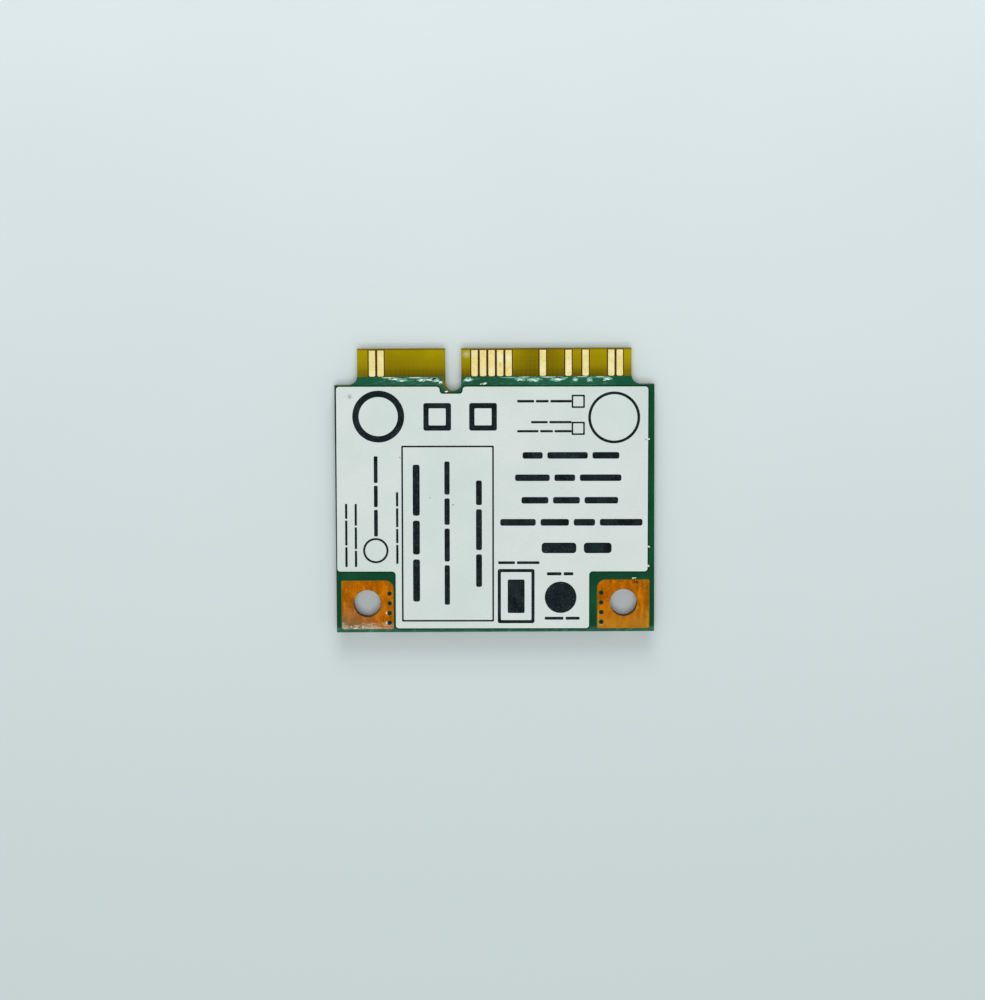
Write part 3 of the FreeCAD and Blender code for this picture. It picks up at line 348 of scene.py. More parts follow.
# Looks of the CAD nodes, by the record's material slots
LOOKS = {
    "laminate": laminate(),
    "solder_mask": solder_mask(),
    "contact_gold": contact_gold(),
    "pad_copper": pad_copper(),
    "label_paper": label_paper(),
    "shield_sheet": shield_sheet(),
    "solder": mottled(
        "solder", rgb(172, 176, 181), rgb(210, 212, 214), 0.6, 0.2, (0.18, 0.36), 0.008, Metallic=1.0),
    "socket_plating": mottled(
        "socket_plating", rgb(206, 164, 78), rgb(238, 206, 130), 0.7, 0.08, (0.18, 0.34), 0.0015,
        Metallic=1.0),
    "socket_insulator": mottled(
        "socket_insulator", rgb(206, 196, 168), rgb(228, 219, 194), 0.8, 0.07, (0.42, 0.6), 0.003),
    "chip_mould": mottled("chip_mould", rgb(17, 18, 20), rgb(40, 41, 43), 1.5, 0.05, (0.5, 0.72), 0.004),
    "capacitor_ceramic": mottled(
        "capacitor_ceramic", rgb(134, 100, 68), rgb(172, 138, 102), 0.5, 0.06, (0.45, 0.62), 0.003),
    "resistor_glaze": resistor_glaze(),
    "filter_ceramic": mottled(
        "filter_ceramic", rgb(188, 192, 184), rgb(222, 224, 216), 0.6, 0.06, (0.45, 0.62), 0.003),
    "ferrite": mottled("ferrite", rgb(40, 39, 39), rgb(74, 72, 70), 0.6, 0.05, (0.5, 0.7), 0.004),
    "crystal_ceramic": mottled(
        "crystal_ceramic", rgb(52, 45, 40), rgb(86, 76, 66), 0.6, 0.06, (0.45, 0.62), 0.003),
    "crystal_metal": mottled(
        "crystal_metal", rgb(190, 184, 162), rgb(224, 218, 198), 0.8, 0.05, (0.2, 0.36), 0.0015, (12, 1, 1),
        Metallic=1.0),
}

# Looks of the pieces made here
INK = ink()
ETCHED_EDGE = mottled(
    "etched_edge", rgb(48, 24, 2), rgb(92, 52, 5), 0.6, 0.08, (0.5, 0.7), 0.002, Specular_IOR_Level=0.1)
# Pale chips in the mask, and painted glints and highlight lines on it
BARE_SCRATCH_AND_HIGHLIGHT = mottled(
    "bare_scratch_and_highlight", rgb(216, 226, 220), rgb(255, 255, 252), 0.3, 0.06, (0.35, 0.55), 0.004)
DRIED_FLUX = mottled("dried_flux", rgb(146, 132, 104), rgb(226, 226, 212), 0.24, 0.07, (0.3, 0.55), 0.006)
WORN_MASK = mottled("worn_mask", rgb(38, 118, 92), rgb(134, 200, 178), 0.22, 0.06, (0.3, 0.5), 0.004)
GOLD_STAIN = mottled("gold_stain", rgb(172, 152, 22), rgb(226, 208, 92), 0.2, 0.06, (0.4, 0.6), 0.002)
TARNISH = mottled(
    "tarnish", rgb(34, 20, 8), rgb(82, 50, 18), 0.3, 0.07, (0.5, 0.7), 0.003, Specular_IOR_Level=0.05)
DUST = mottled("dust", rgb(112, 122, 118), rgb(168, 176, 170), 0.2, 0.05, (0.6, 0.8), 0.002)
BOARD_PRINT = mottled(
    "board_print", rgb(206, 212, 204), rgb(234, 237, 230), 0.7, 0.07, (0.5, 0.7), 0.002)
BARE_EDGE = mottled(
    "bare_edge", rgb(58, 82, 14), rgb(118, 112, 12), 0.35, 0.09, (0.4, 0.6), 0.004, Specular_IOR_Level=0.05)
COVERED_COPPER = mottled(
    "covered_copper", rgb(12, 84, 52), rgb(24, 106, 68), 1.2, 0.12, (0.16, 0.3), 0.002,
    Specular_IOR_Level=0.14)
# Painted shade: the dark line round the label, shadow of its edge with some dirt, and the dark middles of the
# pad dots, shade in their holes
SHADE_AND_DIRT_MASK = mottled(
    "shade_and_dirt_mask", rgb(2, 26, 17), rgb(6, 44, 29), 0.5, 0.1, (0.4, 0.6), 0.002, Specular_IOR_Level=0.1)
FLOOR = floor_sheet()

for node in frame["nodes"].values():
    for place in node.material_slots:
        place.material = LOOKS[place.name]


# Flat outlines, anticlockwise

def circle(x, y, radius, steps=48):
    """Points round a circle."""
    turns = [2 * math.pi * i / steps for i in range(steps)]
    return [(x + radius * math.cos(turn), y + radius * math.sin(turn)) for turn in turns]


def round_box(x0, y0, x1, y1, radius, steps=5):
    """Points round a rectangle with rounded corners."""
    radius = min(radius, (x1 - x0) / 2, (y1 - y0) / 2)
    left, right = x0 + radius, x1 - radius
    rear, front = y0 + radius, y1 - radius
    points = []
    for quarter, (x, y) in enumerate(((right, front), (left, front), (left, rear), (right, rear))):
        for step in range(steps + 1):
            turn = math.pi / 2 * (quarter + step / steps)
            points.append((x + radius * math.cos(turn), y + radius * math.sin(turn)))
    return points


def ragged(chance, x, y, length, width, turn, steps=11):
    """Points round an uneven patch, such as a chip or a stain."""
    c, s = math.cos(turn), math.sin(turn)
    points = []
    for i in range(steps):
        angle = 2 * math.pi * i / steps
        reach = chance.uniform(0.6, 1.1)
        u, v = length / 2 * reach * math.cos(angle), width / 2 * reach * math.sin(angle)
        points.append((x + u * c - v * s, y + u * s + v * c))
    return points


def turned(points, turn):
    """The points turned about the card's centre."""
    c, s = math.cos(turn), math.sin(turn)
    return [(x * c - y * s, x * s + y * c) for x, y in points]


def widened(points, reach):
    """The outline moved outwards by reach."""
    moved = []
    for before, here, after in zip(points[-1:] + points[:-1], points, points[1:] + points[:1]):
        ways = []
        for start, end in ((before, here), (here, after)):
            along = Vector((end[0] - start[0], end[1] - start[1])).normalized()
            ways.append(Vector((along.y, -along.x)))
        way = (ways[0] + ways[1]).normalized()
        moved.append(tuple(Vector(here) + way * reach / max(way.dot(ways[0]), 0.5)))
    return moved


# Shapes and pieces

# How far a film is sunk into the face that carries it
SUNK = 0.002

# The most that a flake is turned, and how much higher each is than the one before
FLAKE_TURN = 0.5
FLAKE_STEP = 0.0001

# Where marks are drawn in near the mask's edges, and what is left clear there
EASE = 0.06
EDGE_MARGIN = 0.01

# Corners of a CAD mesh that are nearer than this are one, in metres
WELD = 1e-7


def ring(count):
    """Each place in a ring, with the next one."""
    return [(i, (i + 1) % count) for i in range(count)]


def add_slab(mesh, points, low, high):
    """A closed plate over a flat outline, between two levels."""
    under = [mesh.verts.new((x, y, low)) for x, y in points]
    over = [mesh.verts.new((x, y, high)) for x, y in points]
    mesh.faces.new(over)
    mesh.faces.new(under[::-1])
    for i, j in ring(len(points)):
        mesh.faces.new((under[i], under[j], over[j], over[i]))


def add_band(mesh, outer, inner, low, high):
    """A closed frame between two outlines with the same number of points."""
    loops = [[mesh.verts.new((x, y, z)) for x, y in points]
             for points, z in ((outer, low), (outer, high), (inner, high), (inner, low))]
    for first, second in zip(loops, loops[1:] + loops[:1]):
        for i, j in ring(len(outer)):
            mesh.faces.new((first[i], first[j], second[j], second[i]))


def add_film(mesh, level, rise, outer, inner=None):
    """A thin plate or frame on a face of the card. Rise is below 0 on the component side."""
    low, high = sorted((level - math.copysign(SUNK, rise), level + rise))
    if inner:
        add_band(mesh, outer, inner, low, high)
    else:
        add_slab(mesh, outer, low, high)


def add_fillet(mesh, foot, out, height, reach, half_width, steps=5):
    """A hollow slope of solder from a wall to the board. Foot is where the wall stands, and out its way."""
    side = Vector((-out.y, out.x, 0))
    ends = []
    for hand in (-1, 1):
        corner = foot + side * half_width * hand
        curve = [corner]
        for step in range(steps + 1):
            share = step / steps
            drop = height * (1 - share) ** 2.2
            inward = -side * hand * half_width * 0.12 * (1 - share)
            curve.append(corner + out * reach * share + inward - Vector((0, 0, drop)))
        ends.append([mesh.verts.new(point) for point in curve])
    first, second = ends
    mesh.faces.new(first)
    mesh.faces.new(second[::-1])
    for i, j in ring(len(first)):
        mesh.faces.new((first[i], second[i], second[j], first[j]))


def add_flakes(mesh, chance, box, count, sizes, slimness, level, rise=SUNK):
    """Small uneven flakes strewn over a box, each a little higher than the one before."""
    x0, y0, x1, y1 = box
    for i in range(count):
        x, y = chance.uniform(x0, x1), chance.uniform(y0, y1)
        size = chance.uniform(*sizes)
        width = size * chance.uniform(*slimness)
        points = ragged(chance, x, y, size, width, chance.uniform(-FLAKE_TURN, FLAKE_TURN))
        add_film(mesh, level, rise + FLAKE_STEP * i, points)


def within(value, edge):
    """The value, eased where it comes near an edge so that it stays inside."""
    start, room = edge - EASE, EASE - EDGE_MARGIN
    return min(value, start) + room * math.tanh(max(value - start, 0.0) / room)


def draw_in(mesh):
    """Draws in what would stand out past the edges of the mask."""
    for vert in mesh.verts:
        vert.co.x = math.copysign(within(abs(vert.co.x), MASK_SIDE), vert.co.x)
        vert.co.y = within(vert.co.y, MASK_FRONT)


def make_object(name, mesh, material):
    """An object in the scene from a mesh in millimetres."""
    bmesh.ops.scale(mesh, vec=(MM, MM, MM), verts=mesh.verts)
    data = bpy.data.meshes.new(name)
    mesh.to_mesh(data)
    mesh.free()
    data.materials.append(material)
    made = bpy.data.objects.new(name, data)
    bpy.context.scene.collection.objects.link(made)
    return made


def make_piece(name, mesh, material):
    """A piece of the card from a mesh in millimetres."""
    bmesh.ops.recalc_face_normals(mesh, faces=mesh.faces)
    piece = make_object(name, mesh, material)
    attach(piece, "root")
    return piece


def soften(piece, width):
    """Rounds the sharp edges of a piece or of a CAD node."""
    weld = piece.modifiers.new("weld", "WELD")
    weld.merge_threshold = WELD
    bevel = piece.modifiers.new("bevel", "BEVEL")
    bevel.width = width * MM
    bevel.segments = 2
    bevel.limit_method = "ANGLE"
    bevel.angle_limit = math.radians(40)
    bevel.use_clamp_overlap = True


def welded(node):
    """A copy of a CAD node's mesh, with its shared corners joined."""
    mesh = bmesh.new()
    mesh.from_mesh(frame["nodes"][node].data)
    bmesh.ops.remove_doubles(mesh, verts=mesh.verts, dist=WELD)
    return mesh


def solids(node):
    """The lowest and highest corners, in millimetres, of each separate solid in a CAD node."""
    mesh = welded(node)
    seen, boxes = set(), []
    for start in mesh.verts:
        if start in seen:
            continue
        seen.add(start)
        island = [start]
        for vert in island:
            for edge in vert.link_edges:
                other = edge.other_vert(vert)
                if other not in seen:
                    seen.add(other)
                    island.append(other)
        places = [[vert.co[axis] / MM for vert in island] for axis in range(3)]
        boxes.append((Vector([min(values) for values in places]), Vector([max(values) for values in places])))
    mesh.free()
    return boxes


def foot_outline(node):
    """Points round the lowest face of a CAD node, in order, in millimetres."""
    mesh = welded(node)
    level = min(vert.co.z for vert in mesh.verts) + 1e-6
    flat = [face for face in mesh.faces if all(vert.co.z < level for vert in face.verts)]
    following = {}
    for face in flat:
        for loop in face.loops:
            if any(other not in flat for other in loop.edge.link_faces):
                following[loop.vert] = loop.link_loop_next.vert
    at = next(iter(following))
    points = []
    while len(points) < len(following):
        points.append((at.co.x / MM, at.co.y / MM))
        at = following[at]
    mesh.free()
    return points[::-1]


# Print and specks on the label: plain bars, rings and boxes

INK_RISE = 0.004
SPECK_RISE = 0.003

# Start, end, middle and height of each line of bars, and the proportions of its bars
LINES = (
    (2.1, 7.2, 8.46, 0.24, (4, 3, 5)),
    (3.4, 7.2, 6.49, 0.22, (3, 4)),
    (2.1, 7.2, 5.64, 0.22, (5, 3, 4)),
    (2.6, 11.7, 3.36, 0.62, (3, 6, 4)),
    (1.9, 11.9, 1.25, 0.62, (5, 3, 6)),
    (2.5, 11.6, -0.88, 0.62, (4, 4, 5)),
    (0.5, 13.9, -2.97, 0.64, (5, 4, 3, 6)),
    (4.4, 11.0, -5.4, 1.0, (5, 4)),
    (0.3, 4.2, -6.8, 0.26, (3, 4)),
    (4.9, 7.4, -7.86, 0.3, (3, 2)),
    (4.7, 8.0, -12.1, 0.28, (4, 3)),
)
UPRIGHT_LINES = (
    (-10.5, 2.5, -7.4, 0.66, (5, 4, 6)),
    (-10.8, 2.8, -4.5, 0.5, (6, 5, 4, 5)),
    (-9.1, 1.0, -1.5, 0.56, (4, 5, 3)),
    (-7.2, -1.2, -14.0, 0.22, (4, 5, 3)),
    (-7.2, -1.2, -13.1, 0.22, (3, 4, 4)),
    (-4.3, 3.3, -11.2, 0.36, (5, 4, 5)),
    (-6.9, -0.1, -9.2, 0.22, (4, 3, 4, 3)),
)

# A disc, as middle and radius, and a solid box, as corners and rounding
DISC = (6.2, -10.1, 1.5)
SOLID_BOX = (1.2, -11.6, 2.8, -8.4, 0.15)

# Middle, radius and line width of each ring
RINGS = ((-10.93, 7.03, 2.44, 0.6), (11.2, 6.93, 2.44, 0.26), (-11.23, -5.64, 1.2, 0.2))

# Corners, line width and rounding of each open box
OPEN_BOXES = (
    (-8.79, -12.41, -0.09, 4.29, 0.16, 0.1),
    (-6.7, 5.7, -4.1, 8.3, 0.5, 0.2),
    (-2.4, 5.7, 0.2, 8.3, 0.5, 0.2),
    (0.26, -12.57, 3.74, -7.4, 0.3, 0.2),
    (7.2, 7.82, 8.45, 9.07, 0.16, 0.1),
    (7.2, 5.28, 8.45, 6.53, 0.16, 0.1),
)

# Place and size of each speck
SPECKS = ((-13.53, 8.9, 0.24), (-8.9, 3.2, 0.18), (-6.1, -0.6, 0.16), (-3.95, -1.3, 0.2), (14.2, 4.8, 0.22))


def framed(x0, y0, x1, y1, line, radius):
    """The outer and inner outlines of an open box."""
    outer = round_box(x0, y0, x1, y1, radius)
    return outer, round_box(x0 + line, y0 + line, x1 - line, y1 - line, radius * 0.5)


def add_print(mesh, outer, inner=None):
    """One printed field or frame, turned with the label."""
    outlines = [turned(points, LABEL_TURN) for points in (outer, inner) if points]
    add_film(mesh, LABEL_TOP, INK_RISE, *outlines)


def add_line(mesh, start, end, middle, height, words, upright):
    """A line of bars with lengths in the proportions of words, and gaps of about their height."""
    gap = height * 0.7
    unit = (end - start - gap * (len(words) - 1)) / sum(words)
    at = start
    for word in words:
        low, high = at, at + unit * word
        at = high + gap
        if upright:
            box = (middle - height / 2, low, middle + height / 2, high)
        else:
            box = (low, middle - height / 2, high, middle + height / 2)
        add_print(mesh, round_box(*box, height * 0.3, 3))


def label_print():
    """Bars, rings, boxes and a disc in black ink."""
    mesh = bmesh.new()
    for lines, upright in ((LINES, False), (UPRIGHT_LINES, True)):
        for line in lines:
            add_line(mesh, *line, upright)
    add_print(mesh, circle(*DISC))
    add_print(mesh, round_box(*SOLID_BOX))
    for x, y, radius, line in RINGS:
        add_print(mesh, circle(x, y, radius), circle(x, y, radius - line))
    for box in OPEN_BOXES:
        add_print(mesh, *framed(*box))
    make_piece("label_print", mesh, INK)


def label_specks():
    """A few specks of dirt."""
    mesh = bmesh.new()
    chance = random.Random(11)
    for x, y, size in SPECKS:
        points = ragged(chance, x, y, size, size * 0.7, chance.uniform(0, 3))
        add_film(mesh, LABEL_TOP, SPECK_RISE, points)
    make_piece("label_specks", mesh, DUST)


# Edge connector: etched edges beside the contacts, marks of use, and painted highlights on the mask

RIM_LEFT = 0.11
RIM_RIGHT = 0.09
RIM_REAR = 0.02
RIM_FRONT = 0.06
RIM_ROUND = 0.04
RIM_RISE = 0.004

# Place, length and width of each chipped fleck in the mask, and of two painted glints, above the nick on the
# right pad and by the end of the key slot
FLECKS_AND_GLINTS = (
    (-9.45, 10.56, 0.75, 0.2), (-8.65, 10.42, 0.7, 0.24), (-6.85, 10.44, 0.5, 0.2), (-6.15, 10.5, 0.8, 0.22),
    (-5.5, 10.42, 0.5, 0.3), (-5.05, 10.3, 0.4, 0.3), (-2.45, 10.44, 0.6, 0.3), (-0.9, 10.1, 0.7, 0.2),
    (2.45, 10.46, 0.8, 0.18), (3.7, 10.44, 1.0, 0.3), (6.0, 10.48, 1.1, 0.3), (7.55, 10.42, 0.4, 0.24),
    (8.95, 10.4, 0.4, 0.24), (10.55, 10.5, 0.6, 0.25), (13.1, -8.33, 0.34, 0.05), (14.47, 4.84, 0.05, 0.12),
    (14.47, -5.4, 0.05, 0.2), (14.45, -7.2, 0.05, 0.2), (-4.5, 9.4, 0.14, 0.1),
)

# Flecks in front of this line have a worn patch round them, larger by the growth
WORN_FROM = 10.3
WORN_GROWTH = 1.7
WORN_SHIFT = 0.06

# Middle and length of each worn run along the mask's front edge, and of each painted highlight line on that
# edge
WORN_RUNS = ((-9.9, 1.6), (-7.6, 1.8), (-6.0, 1.6), (1.6, 2.2), (3.4, 2.0), (5.4, 2.2), (9.6, 1.6))
EDGE_HIGHLIGHTS = ((-9.9, 1.4), (-7.3, 1.6), (2.9, 1.4), (5.1, 1.8), (8.2, 1.2), (9.9, 0.9))

# The stain, between two corners on one contact
STAIN = (0.52, 11.62, 0.57, 12.1)


def contact_rims():
    """The etched edges of the copper round the contacts."""
    mesh = bmesh.new()
    for node, level, rise in (
        ("label_side_contacts", LAMINATE_TOP, RIM_RISE),
        ("component_side_contacts", LAMINATE_BOTTOM, -RIM_RISE),
    ):
        for low, high in solids(node):
            box = (low.x - RIM_LEFT, low.y - RIM_REAR, high.x + RIM_RIGHT, high.y + RIM_FRONT)
            add_film(mesh, level, rise, round_box(*box, RIM_ROUND))
    make_piece("contact_rims", mesh, ETCHED_EDGE)


def mask_wear():
    """Paler worn patches round the flecks and along the front edge of the mask."""
    mesh = bmesh.new()
    chance = random.Random(29)
    for x, y, length, width in FLECKS_AND_GLINTS:
        if y > WORN_FROM:
            size = (length * WORN_GROWTH, width * WORN_GROWTH)
            points = ragged(chance, x, y + WORN_SHIFT, *size, chance.uniform(-0.1, 0.1), 23)
            add_film(mesh, MASK_TOP, SUNK / 2, points)
    for x, length in WORN_RUNS:
        points = ragged(chance, x, MASK_FRONT - 0.1, length, 0.13, 0.0, 27)
        add_film(mesh, MASK_TOP, SUNK / 2, points)
    draw_in(mesh)
    make_piece("mask_wear", mesh, WORN_MASK)


def scratches_highlights_and_stain():
    """Pale chips and scratches in the mask, two painted glints, painted highlight lines along the mask's
    front edge, and a stain on one contact.
    """
    chance = random.Random(23)
    mesh = bmesh.new()
    for x, y, length, width in FLECKS_AND_GLINTS:
        points = ragged(chance, x, y, length * 0.7, width * 0.5, chance.uniform(-0.3, 0.4), 19)
        add_film(mesh, MASK_TOP, SUNK, points)
        box = (x - length / 2, y - width / 2, x + length / 2, y + width / 2)
        add_flakes(mesh, chance, box, 9, (0.06, 0.3), (0.15, 0.4), MASK_TOP)
    # Painted highlight lines along the mask's front edge
    for x, length in EDGE_HIGHLIGHTS:
        points = ragged(chance, x, MASK_FRONT - 0.06, length, 0.06, 0.0, 25)
        add_film(mesh, MASK_TOP, SUNK, points)
    draw_in(mesh)
    make_piece("mask_scratches_and_highlights", mesh, BARE_SCRATCH_AND_HIGHLIGHT)

    mesh = bmesh.new()
    add_flakes(mesh, chance, STAIN, 9, (0.08, 0.18), (0.4, 0.7), COPPER_TOP)
    make_piece("contact_stain", mesh, GOLD_STAIN)


# Screw pads: hole walls, dried flux and tarnished nicks

WALL = 0.02
NICK_RISE = 0.012

# Two corners, number of flakes and largest flake of each patch of flux
FLUX = (
    ((-14.2, -12.98, -12.6, -12.75), 16, 0.2),
    ((-12.6, -13.02, -9.9, -12.92), 10, 0.16),
    ((-10.32, -12.6, -10.2, -12.4), 7, 0.34),
    ((-10.32, -11.62, -10.22, -11.46), 6, 0.26),
    ((9.9, -12.9, 10.1, -12.7), 6, 0.2),
)

# Two corners and number of flakes of each nick
NICKS = (
    ((12.95, -8.85, 13.45, -8.6), 22),
    ((-14.1, -9.3, -13.7, -9.0), 2),
    ((-12.95, -13.0, -12.75, -12.85), 4),
)


def hole_walls():
    """The dull walls of the screw holes."""
    mesh = bmesh.new()
    for x, y in HOLES:
        outer, inner = circle(x, y, HOLE_RADIUS), circle(x, y, HOLE_RADIUS - WALL)
        add_band(mesh, outer, inner, COPPER_BOTTOM, COPPER_TOP)
    make_piece("hole_walls", mesh, ETCHED_EDGE)


def flux_and_nicks():
    """Crusts of dried flux and dark nicks on the pads."""
    chance = random.Random(31)
    mesh = bmesh.new()
    for box, count, largest in FLUX:
        add_flakes(mesh, chance, box, count, (0.05, largest), (0.4, 0.8), COPPER_TOP)
    make_piece("dried_flux", mesh, DRIED_FLUX)

    mesh = bmesh.new()
    for box, count in NICKS:
        add_flakes(mesh, chance, box, count, (0.08, 0.24), (0.3, 0.6), COPPER_TOP, NICK_RISE)
    make_piece("pad_nicks", mesh, TARNISH)


# Mask: painted shade in the middles of the pad dots, a dark line round the label that is painted shadow of
# its edge with some dirt, and a worn edge left of the key slot

DOT_MOST = 1.0
DOT_MIDDLE = 0.15
# Reach of the painted shadow line round the label, outwards and inwards
SHADE_AND_DIRT_OUT = 0.12
SHADE_AND_DIRT_IN = -0.05
BARE_WIDTH = 0.3
BARE_STEPS = 8


def mask_shades():
    """The dark line round the label, painted shadow of its edge with some dirt, and painted shade in the
    middles of the dots, the mask's only small solids.
    """
    mesh = bmesh.new()
    # Painted shade in the hole of each pad dot
    for low, high in solids("label_side_mask"):
        if high.x - low.x < DOT_MOST:
            middle = (low + high) / 2
            add_film(mesh, MASK_TOP, SUNK, circle(middle.x, middle.y, DOT_MIDDLE, 16))
    # Painted shadow of the label's edge, with some dirt
    edge = foot_outline("label")
    add_film(mesh, MASK_TOP, SUNK, widened(edge, SHADE_AND_DIRT_OUT), widened(edge, SHADE_AND_DIRT_IN))
    draw_in(mesh)
    make_piece("mask_shades", mesh, SHADE_AND_DIRT_MASK)


def bare_strip():
    """The worn edge, which narrows as it goes round the end of the slot."""
    mesh = bmesh.new()
    inner = [(KEY_X - KEY_RADIUS, MASK_FRONT)]
    outer = [(KEY_X - KEY_RADIUS - BARE_WIDTH, MASK_FRONT)]
    for step in range(BARE_STEPS + 1):
        share = step / BARE_STEPS
        turn = math.pi * (1 + 0.45 * share)
        for side, radius in ((inner, KEY_RADIUS), (outer, KEY_RADIUS + BARE_WIDTH * (1 - 0.75 * share))):
            side.append((KEY_X + radius * math.cos(turn), KEY_Y + radius * math.sin(turn)))
    add_film(mesh, MASK_TOP, SUNK, inner + outer[::-1])
    make_piece("bare_strip", mesh, BARE_EDGE)


# Component side: solder at the parts and at the shield's feet

SOLDERED = ("capacitor", "resistor", "bulk_capacitor", "band_filter", "power_inductor")
BITE = 0.01
PART_REACH = 0.18
PART_CLIMB = 0.65
PART_HEIGHT_MOST = 0.45
FOOT_HEIGHT = 0.34
FOOT_REACH = 0.19
FOOT_MARGIN = 0.05
SIDE_LAND = 0.2


def solder_fillets():
    """Slopes of solder at the outer ends of the chip parts, and where the shield's frame crosses a land."""
    mesh = bmesh.new()
    for part in SOLDERED:
        bodies = [(low + high) / 2 for low, high in solids(f"{part}_bodies")]
        for low, high in solids(f"{part}_terminals"):
            middle, size = (low + high) / 2, high - low
            way = min((middle - body for body in bodies), key=lambda gap: gap.length)
            if abs(way.x) > abs(way.y):
                out, half, half_width = Vector((math.copysign(1, way.x), 0, 0)), size.x / 2, size.y / 2
            else:
                out, half, half_width = Vector((0, math.copysign(1, way.y), 0)), size.y / 2, size.x / 2
            foot = Vector((middle.x, middle.y, LAMINATE_BOTTOM)) + out * (half - BITE)
            add_fillet(mesh, foot, out, min(PART_CLIMB * size.z, PART_HEIGHT_MOST), PART_REACH, half_width)
    for low, high in solids("solder_lands"):
        middle, size = (low + high) / 2, high - low
        if abs(middle.x) > SHIELD_HIGH.x - SIDE_LAND:
            out, half_width = Vector((math.copysign(1, middle.x), 0, 0)), size.y / 2
            foot = Vector((out.x * (SHIELD_HIGH.x - BITE), middle.y, LAMINATE_BOTTOM))
        elif low.y < SHIELD_LOW.y < high.y:
            out, half_width = Vector((0, -1, 0)), size.x / 2
            foot = Vector((middle.x, SHIELD_LOW.y + BITE, LAMINATE_BOTTOM))
        elif low.y < SHIELD_HIGH.y < high.y:
            out, half_width = Vector((0, 1, 0)), size.x / 2
            foot = Vector((middle.x, SHIELD_HIGH.y - BITE, LAMINATE_BOTTOM))
        else:
            continue
        add_fillet(mesh, foot, out, FOOT_HEIGHT, FOOT_REACH, half_width - FOOT_MARGIN)
    make_piece("solder_fillets", mesh, LOOKS["solder"])


# Component side: covered tracks, covered holes and plain print

TRACK_HALF = 0.09
TRACK_FRONT = 10.76
TRACK_ENDS = (9.7, 10.05)
TRACK_RISE = 0.006
TRACK_HOLE = 0.22
HOLE_RISE = 0.01
ROW_HOLE = 0.2
ROW_COUNT = 17
SIDE_ROW_X = 14.5
SIDE_ROW_START = -6.6
REAR_ROW_Y = -12.95
REAR_ROW_START = -8
TRACK_SOFTNESS = 0.004

PRINT_RISE = 0.008
PRINT_LINE = 0.14
SOCKET_BAR_OFF = 1.85
SOCKET_BAR_HALF = 1.3
SOCKET_DOT_OFF = 2.0
SOCKET_DOT = 0.16
PART_BOX_X = 1.0
PART_BOX_Y = 1.1
PART_BOX_ROUND = 0.12


def covered_tracks():
    """Tracks and filled holes that show as low relief under the mask."""
    mesh = bmesh.new()
    contacts = sorted(solids("component_side_contacts"), key=lambda box: box[0].x)
    for i, (low, high) in enumerate(contacts):
        x, end = (low.x + high.x) / 2, TRACK_ENDS[i % 2]
        track = round_box(x - TRACK_HALF, end, x + TRACK_HALF, TRACK_FRONT, 0.05, 2)
        add_film(mesh, MASK_BOTTOM, -TRACK_RISE, track)
        add_film(mesh, MASK_BOTTOM, -HOLE_RISE, circle(x, end, TRACK_HOLE, 16))
    row = [(side * SIDE_ROW_X, SIDE_ROW_START + i) for side in (-1, 1) for i in range(ROW_COUNT)]
    row += [(REAR_ROW_START + i, REAR_ROW_Y) for i in range(ROW_COUNT)]
    for x, y in row:
        add_film(mesh, MASK_BOTTOM, -HOLE_RISE, circle(x, y, ROW_HOLE, 16))
    soften(make_piece("covered_tracks", mesh, COVERED_COPPER), TRACK_SOFTNESS)


def board_print():
    """White bars and dots at the sockets, and boxes round the larger capacitors outside the shield."""
    mesh = bmesh.new()
    for x, y in SOCKETS:
        for side in (-1, 1):
            bar = x + SOCKET_BAR_OFF * side
            box = (bar - PRINT_LINE / 2, y - SOCKET_BAR_HALF, bar + PRINT_LINE / 2, y + SOCKET_BAR_HALF)
            add_film(mesh, MASK_BOTTOM, -PRINT_RISE, round_box(*box, 0.05, 2))
        add_film(mesh, MASK_BOTTOM, -PRINT_RISE, circle(x, y + SOCKET_DOT_OFF, SOCKET_DOT, 16))
    for low, high in solids("bulk_capacitor_bodies"):
        x, y, _ = (low + high) / 2
        if SHIELD_LOW.x < x < SHIELD_HIGH.x and SHIELD_LOW.y < y < SHIELD_HIGH.y:
            continue
        box = (x - PART_BOX_X, y - PART_BOX_Y, x + PART_BOX_X, y + PART_BOX_Y)
        add_film(mesh, MASK_BOTTOM, -PRINT_RISE, *framed(*box, PRINT_LINE, PART_BOX_ROUND))
    make_piece("board_print", mesh, BOARD_PRINT)


label_print()
label_specks()
contact_rims()
mask_wear()
scratches_highlights_and_stain()
hole_walls()
flux_and_nicks()
mask_shades()
bare_strip()
solder_fillets()
covered_tracks()
board_print()

# Softened edges on the CAD nodes
SOFT_EDGES = {
    "label": 0.02,
    "label_side_mask": 0.015,
    "component_side_mask": 0.015,
    "label_side_contacts": 0.015,
    "component_side_contacts": 0.015,
}
for name, width in SOFT_EDGES.items():
    soften(frame["nodes"][name], width)


# Floor, light and camera

FLOOR_REACH = 1500
FLOOR_ROUND = 300
FLOOR_BOTTOM = -4.0
FLOOR_TOP = -0.01
FOCAL_LENGTH = 99.03
SENSOR_HEIGHT = 36.0
CAMERA_PLACE = (0.177, 27.742, 259.83)
CAMERA_TURN = (-6.3428, 0.0594, -0.2729)


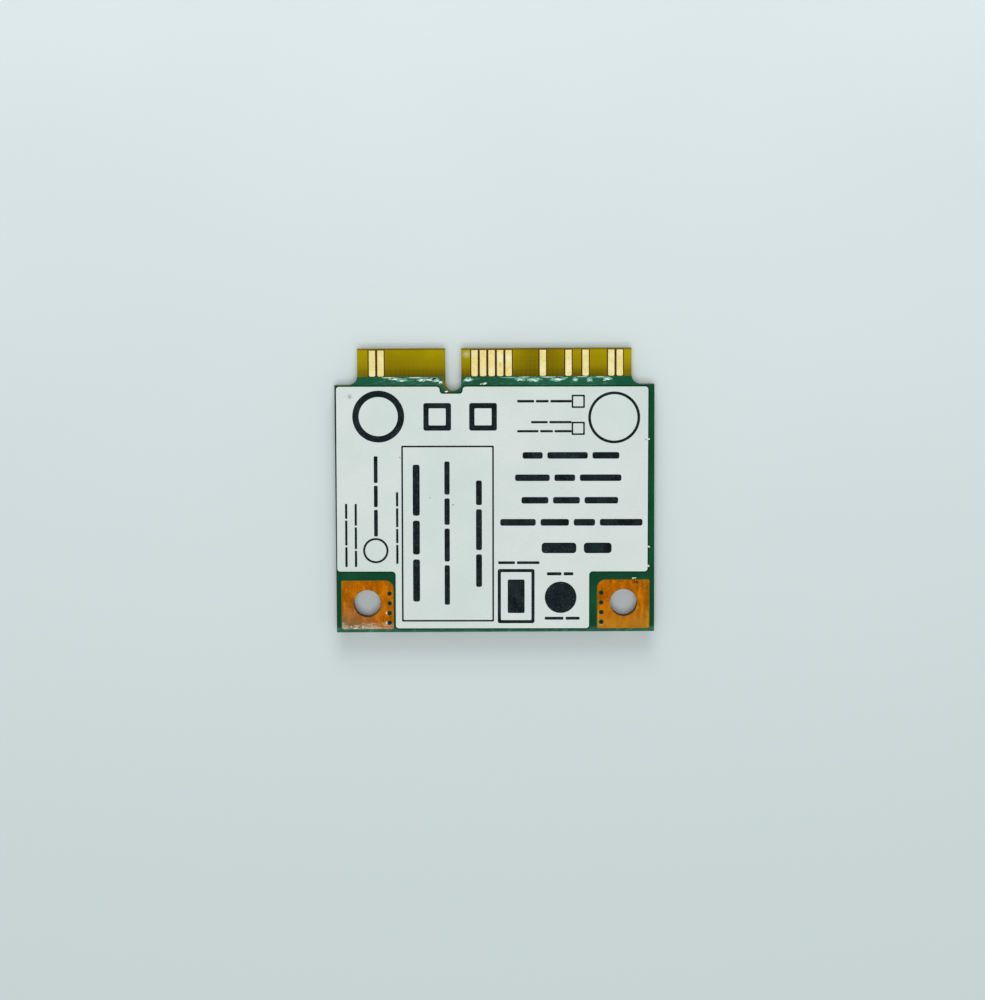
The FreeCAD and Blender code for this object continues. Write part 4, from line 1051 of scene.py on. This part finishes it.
def studio_world():
    """Soft light that is stronger from overhead, before a pale backdrop."""
    world = bpy.data.worlds.new("studio")
    world.use_nodes = True
    tree = world.node_tree
    way = add_node(tree, "TexCoord", {}).outputs["Generated"]
    height = add_node(tree, "SeparateXYZ", {"Vector": way}).outputs["Z"]
    slope = {"Value": height, "From Min": 0.55, "From Max": 1.0, "To Min": 0.15, "To Max": 0.6}
    strength = add_node(tree, "MapRange", slope, interpolation_type="SMOOTHSTEP").outputs["Result"]
    lit = tree.nodes["Background"]
    lit.inputs["Color"].default_value = rgb(255, 255, 255)
    tree.links.new(strength, lit.inputs["Strength"])
    seen = add_node(tree, "Background", {"Color": rgb(251, 254, 254)})
    rays = add_node(tree, "LightPath", {}).outputs
    either = add_node(tree, "Math", {0: rays["Is Camera Ray"], 1: rays["Is Glossy Ray"]}, operation="ADD")
    inputs = {0: either.outputs["Value"], 1: rays["Is Transmission Ray"]}
    shown = add_node(tree, "Math", inputs, operation="ADD", use_clamp=True)
    inputs = {0: shown.outputs["Value"], 1: lit.outputs["Background"], 2: seen.outputs["Background"]}
    choice = add_node(tree, "MixShader", inputs)
    tree.links.new(choice.outputs["Shader"], tree.nodes["World Output"].inputs["Surface"])
    return world


def add_lamp(name, place, size, share):
    """A square soft lamp aimed at the card. Share is its part of a plain level of light there."""
    place = Vector([value * MM for value in place])
    data = bpy.data.lights.new(name, "AREA")
    data.size = size * MM
    data.energy = share * math.pi ** 2 * place.length_squared / (place.z / place.length)
    lamp = bpy.data.objects.new(name, data)
    lamp.location = place
    lamp.rotation_euler = place.to_track_quat("Z", "Y").to_euler()
    lamp.visible_glossy = False
    scene.collection.objects.link(lamp)


scene = bpy.context.scene
scene.view_settings.view_transform = "Standard"

mesh = bmesh.new()
outline = round_box(-FLOOR_REACH, -FLOOR_REACH, FLOOR_REACH, FLOOR_REACH, FLOOR_ROUND, 12)
add_slab(mesh, outline, FLOOR_BOTTOM, FLOOR_TOP)
floor = make_object("floor", mesh, FLOOR)

scene.world = studio_world()
add_lamp("overhead_lamp", (0, -30, 600), 200, 0.43)
add_lamp("front_lamp", (0, 440, 380), 300, 0.23)

lens = bpy.data.cameras.new("camera")
lens.sensor_fit = "VERTICAL"
lens.sensor_height = SENSOR_HEIGHT
lens.lens = FOCAL_LENGTH
lens.clip_start = 0.01
camera = bpy.data.objects.new("camera", lens)
camera.location = [value * MM for value in CAMERA_PLACE]
camera.rotation_euler = [math.radians(angle) for angle in CAMERA_TURN]
scene.collection.objects.link(camera)
scene.camera = camera


bpy.context.view_layer.update()
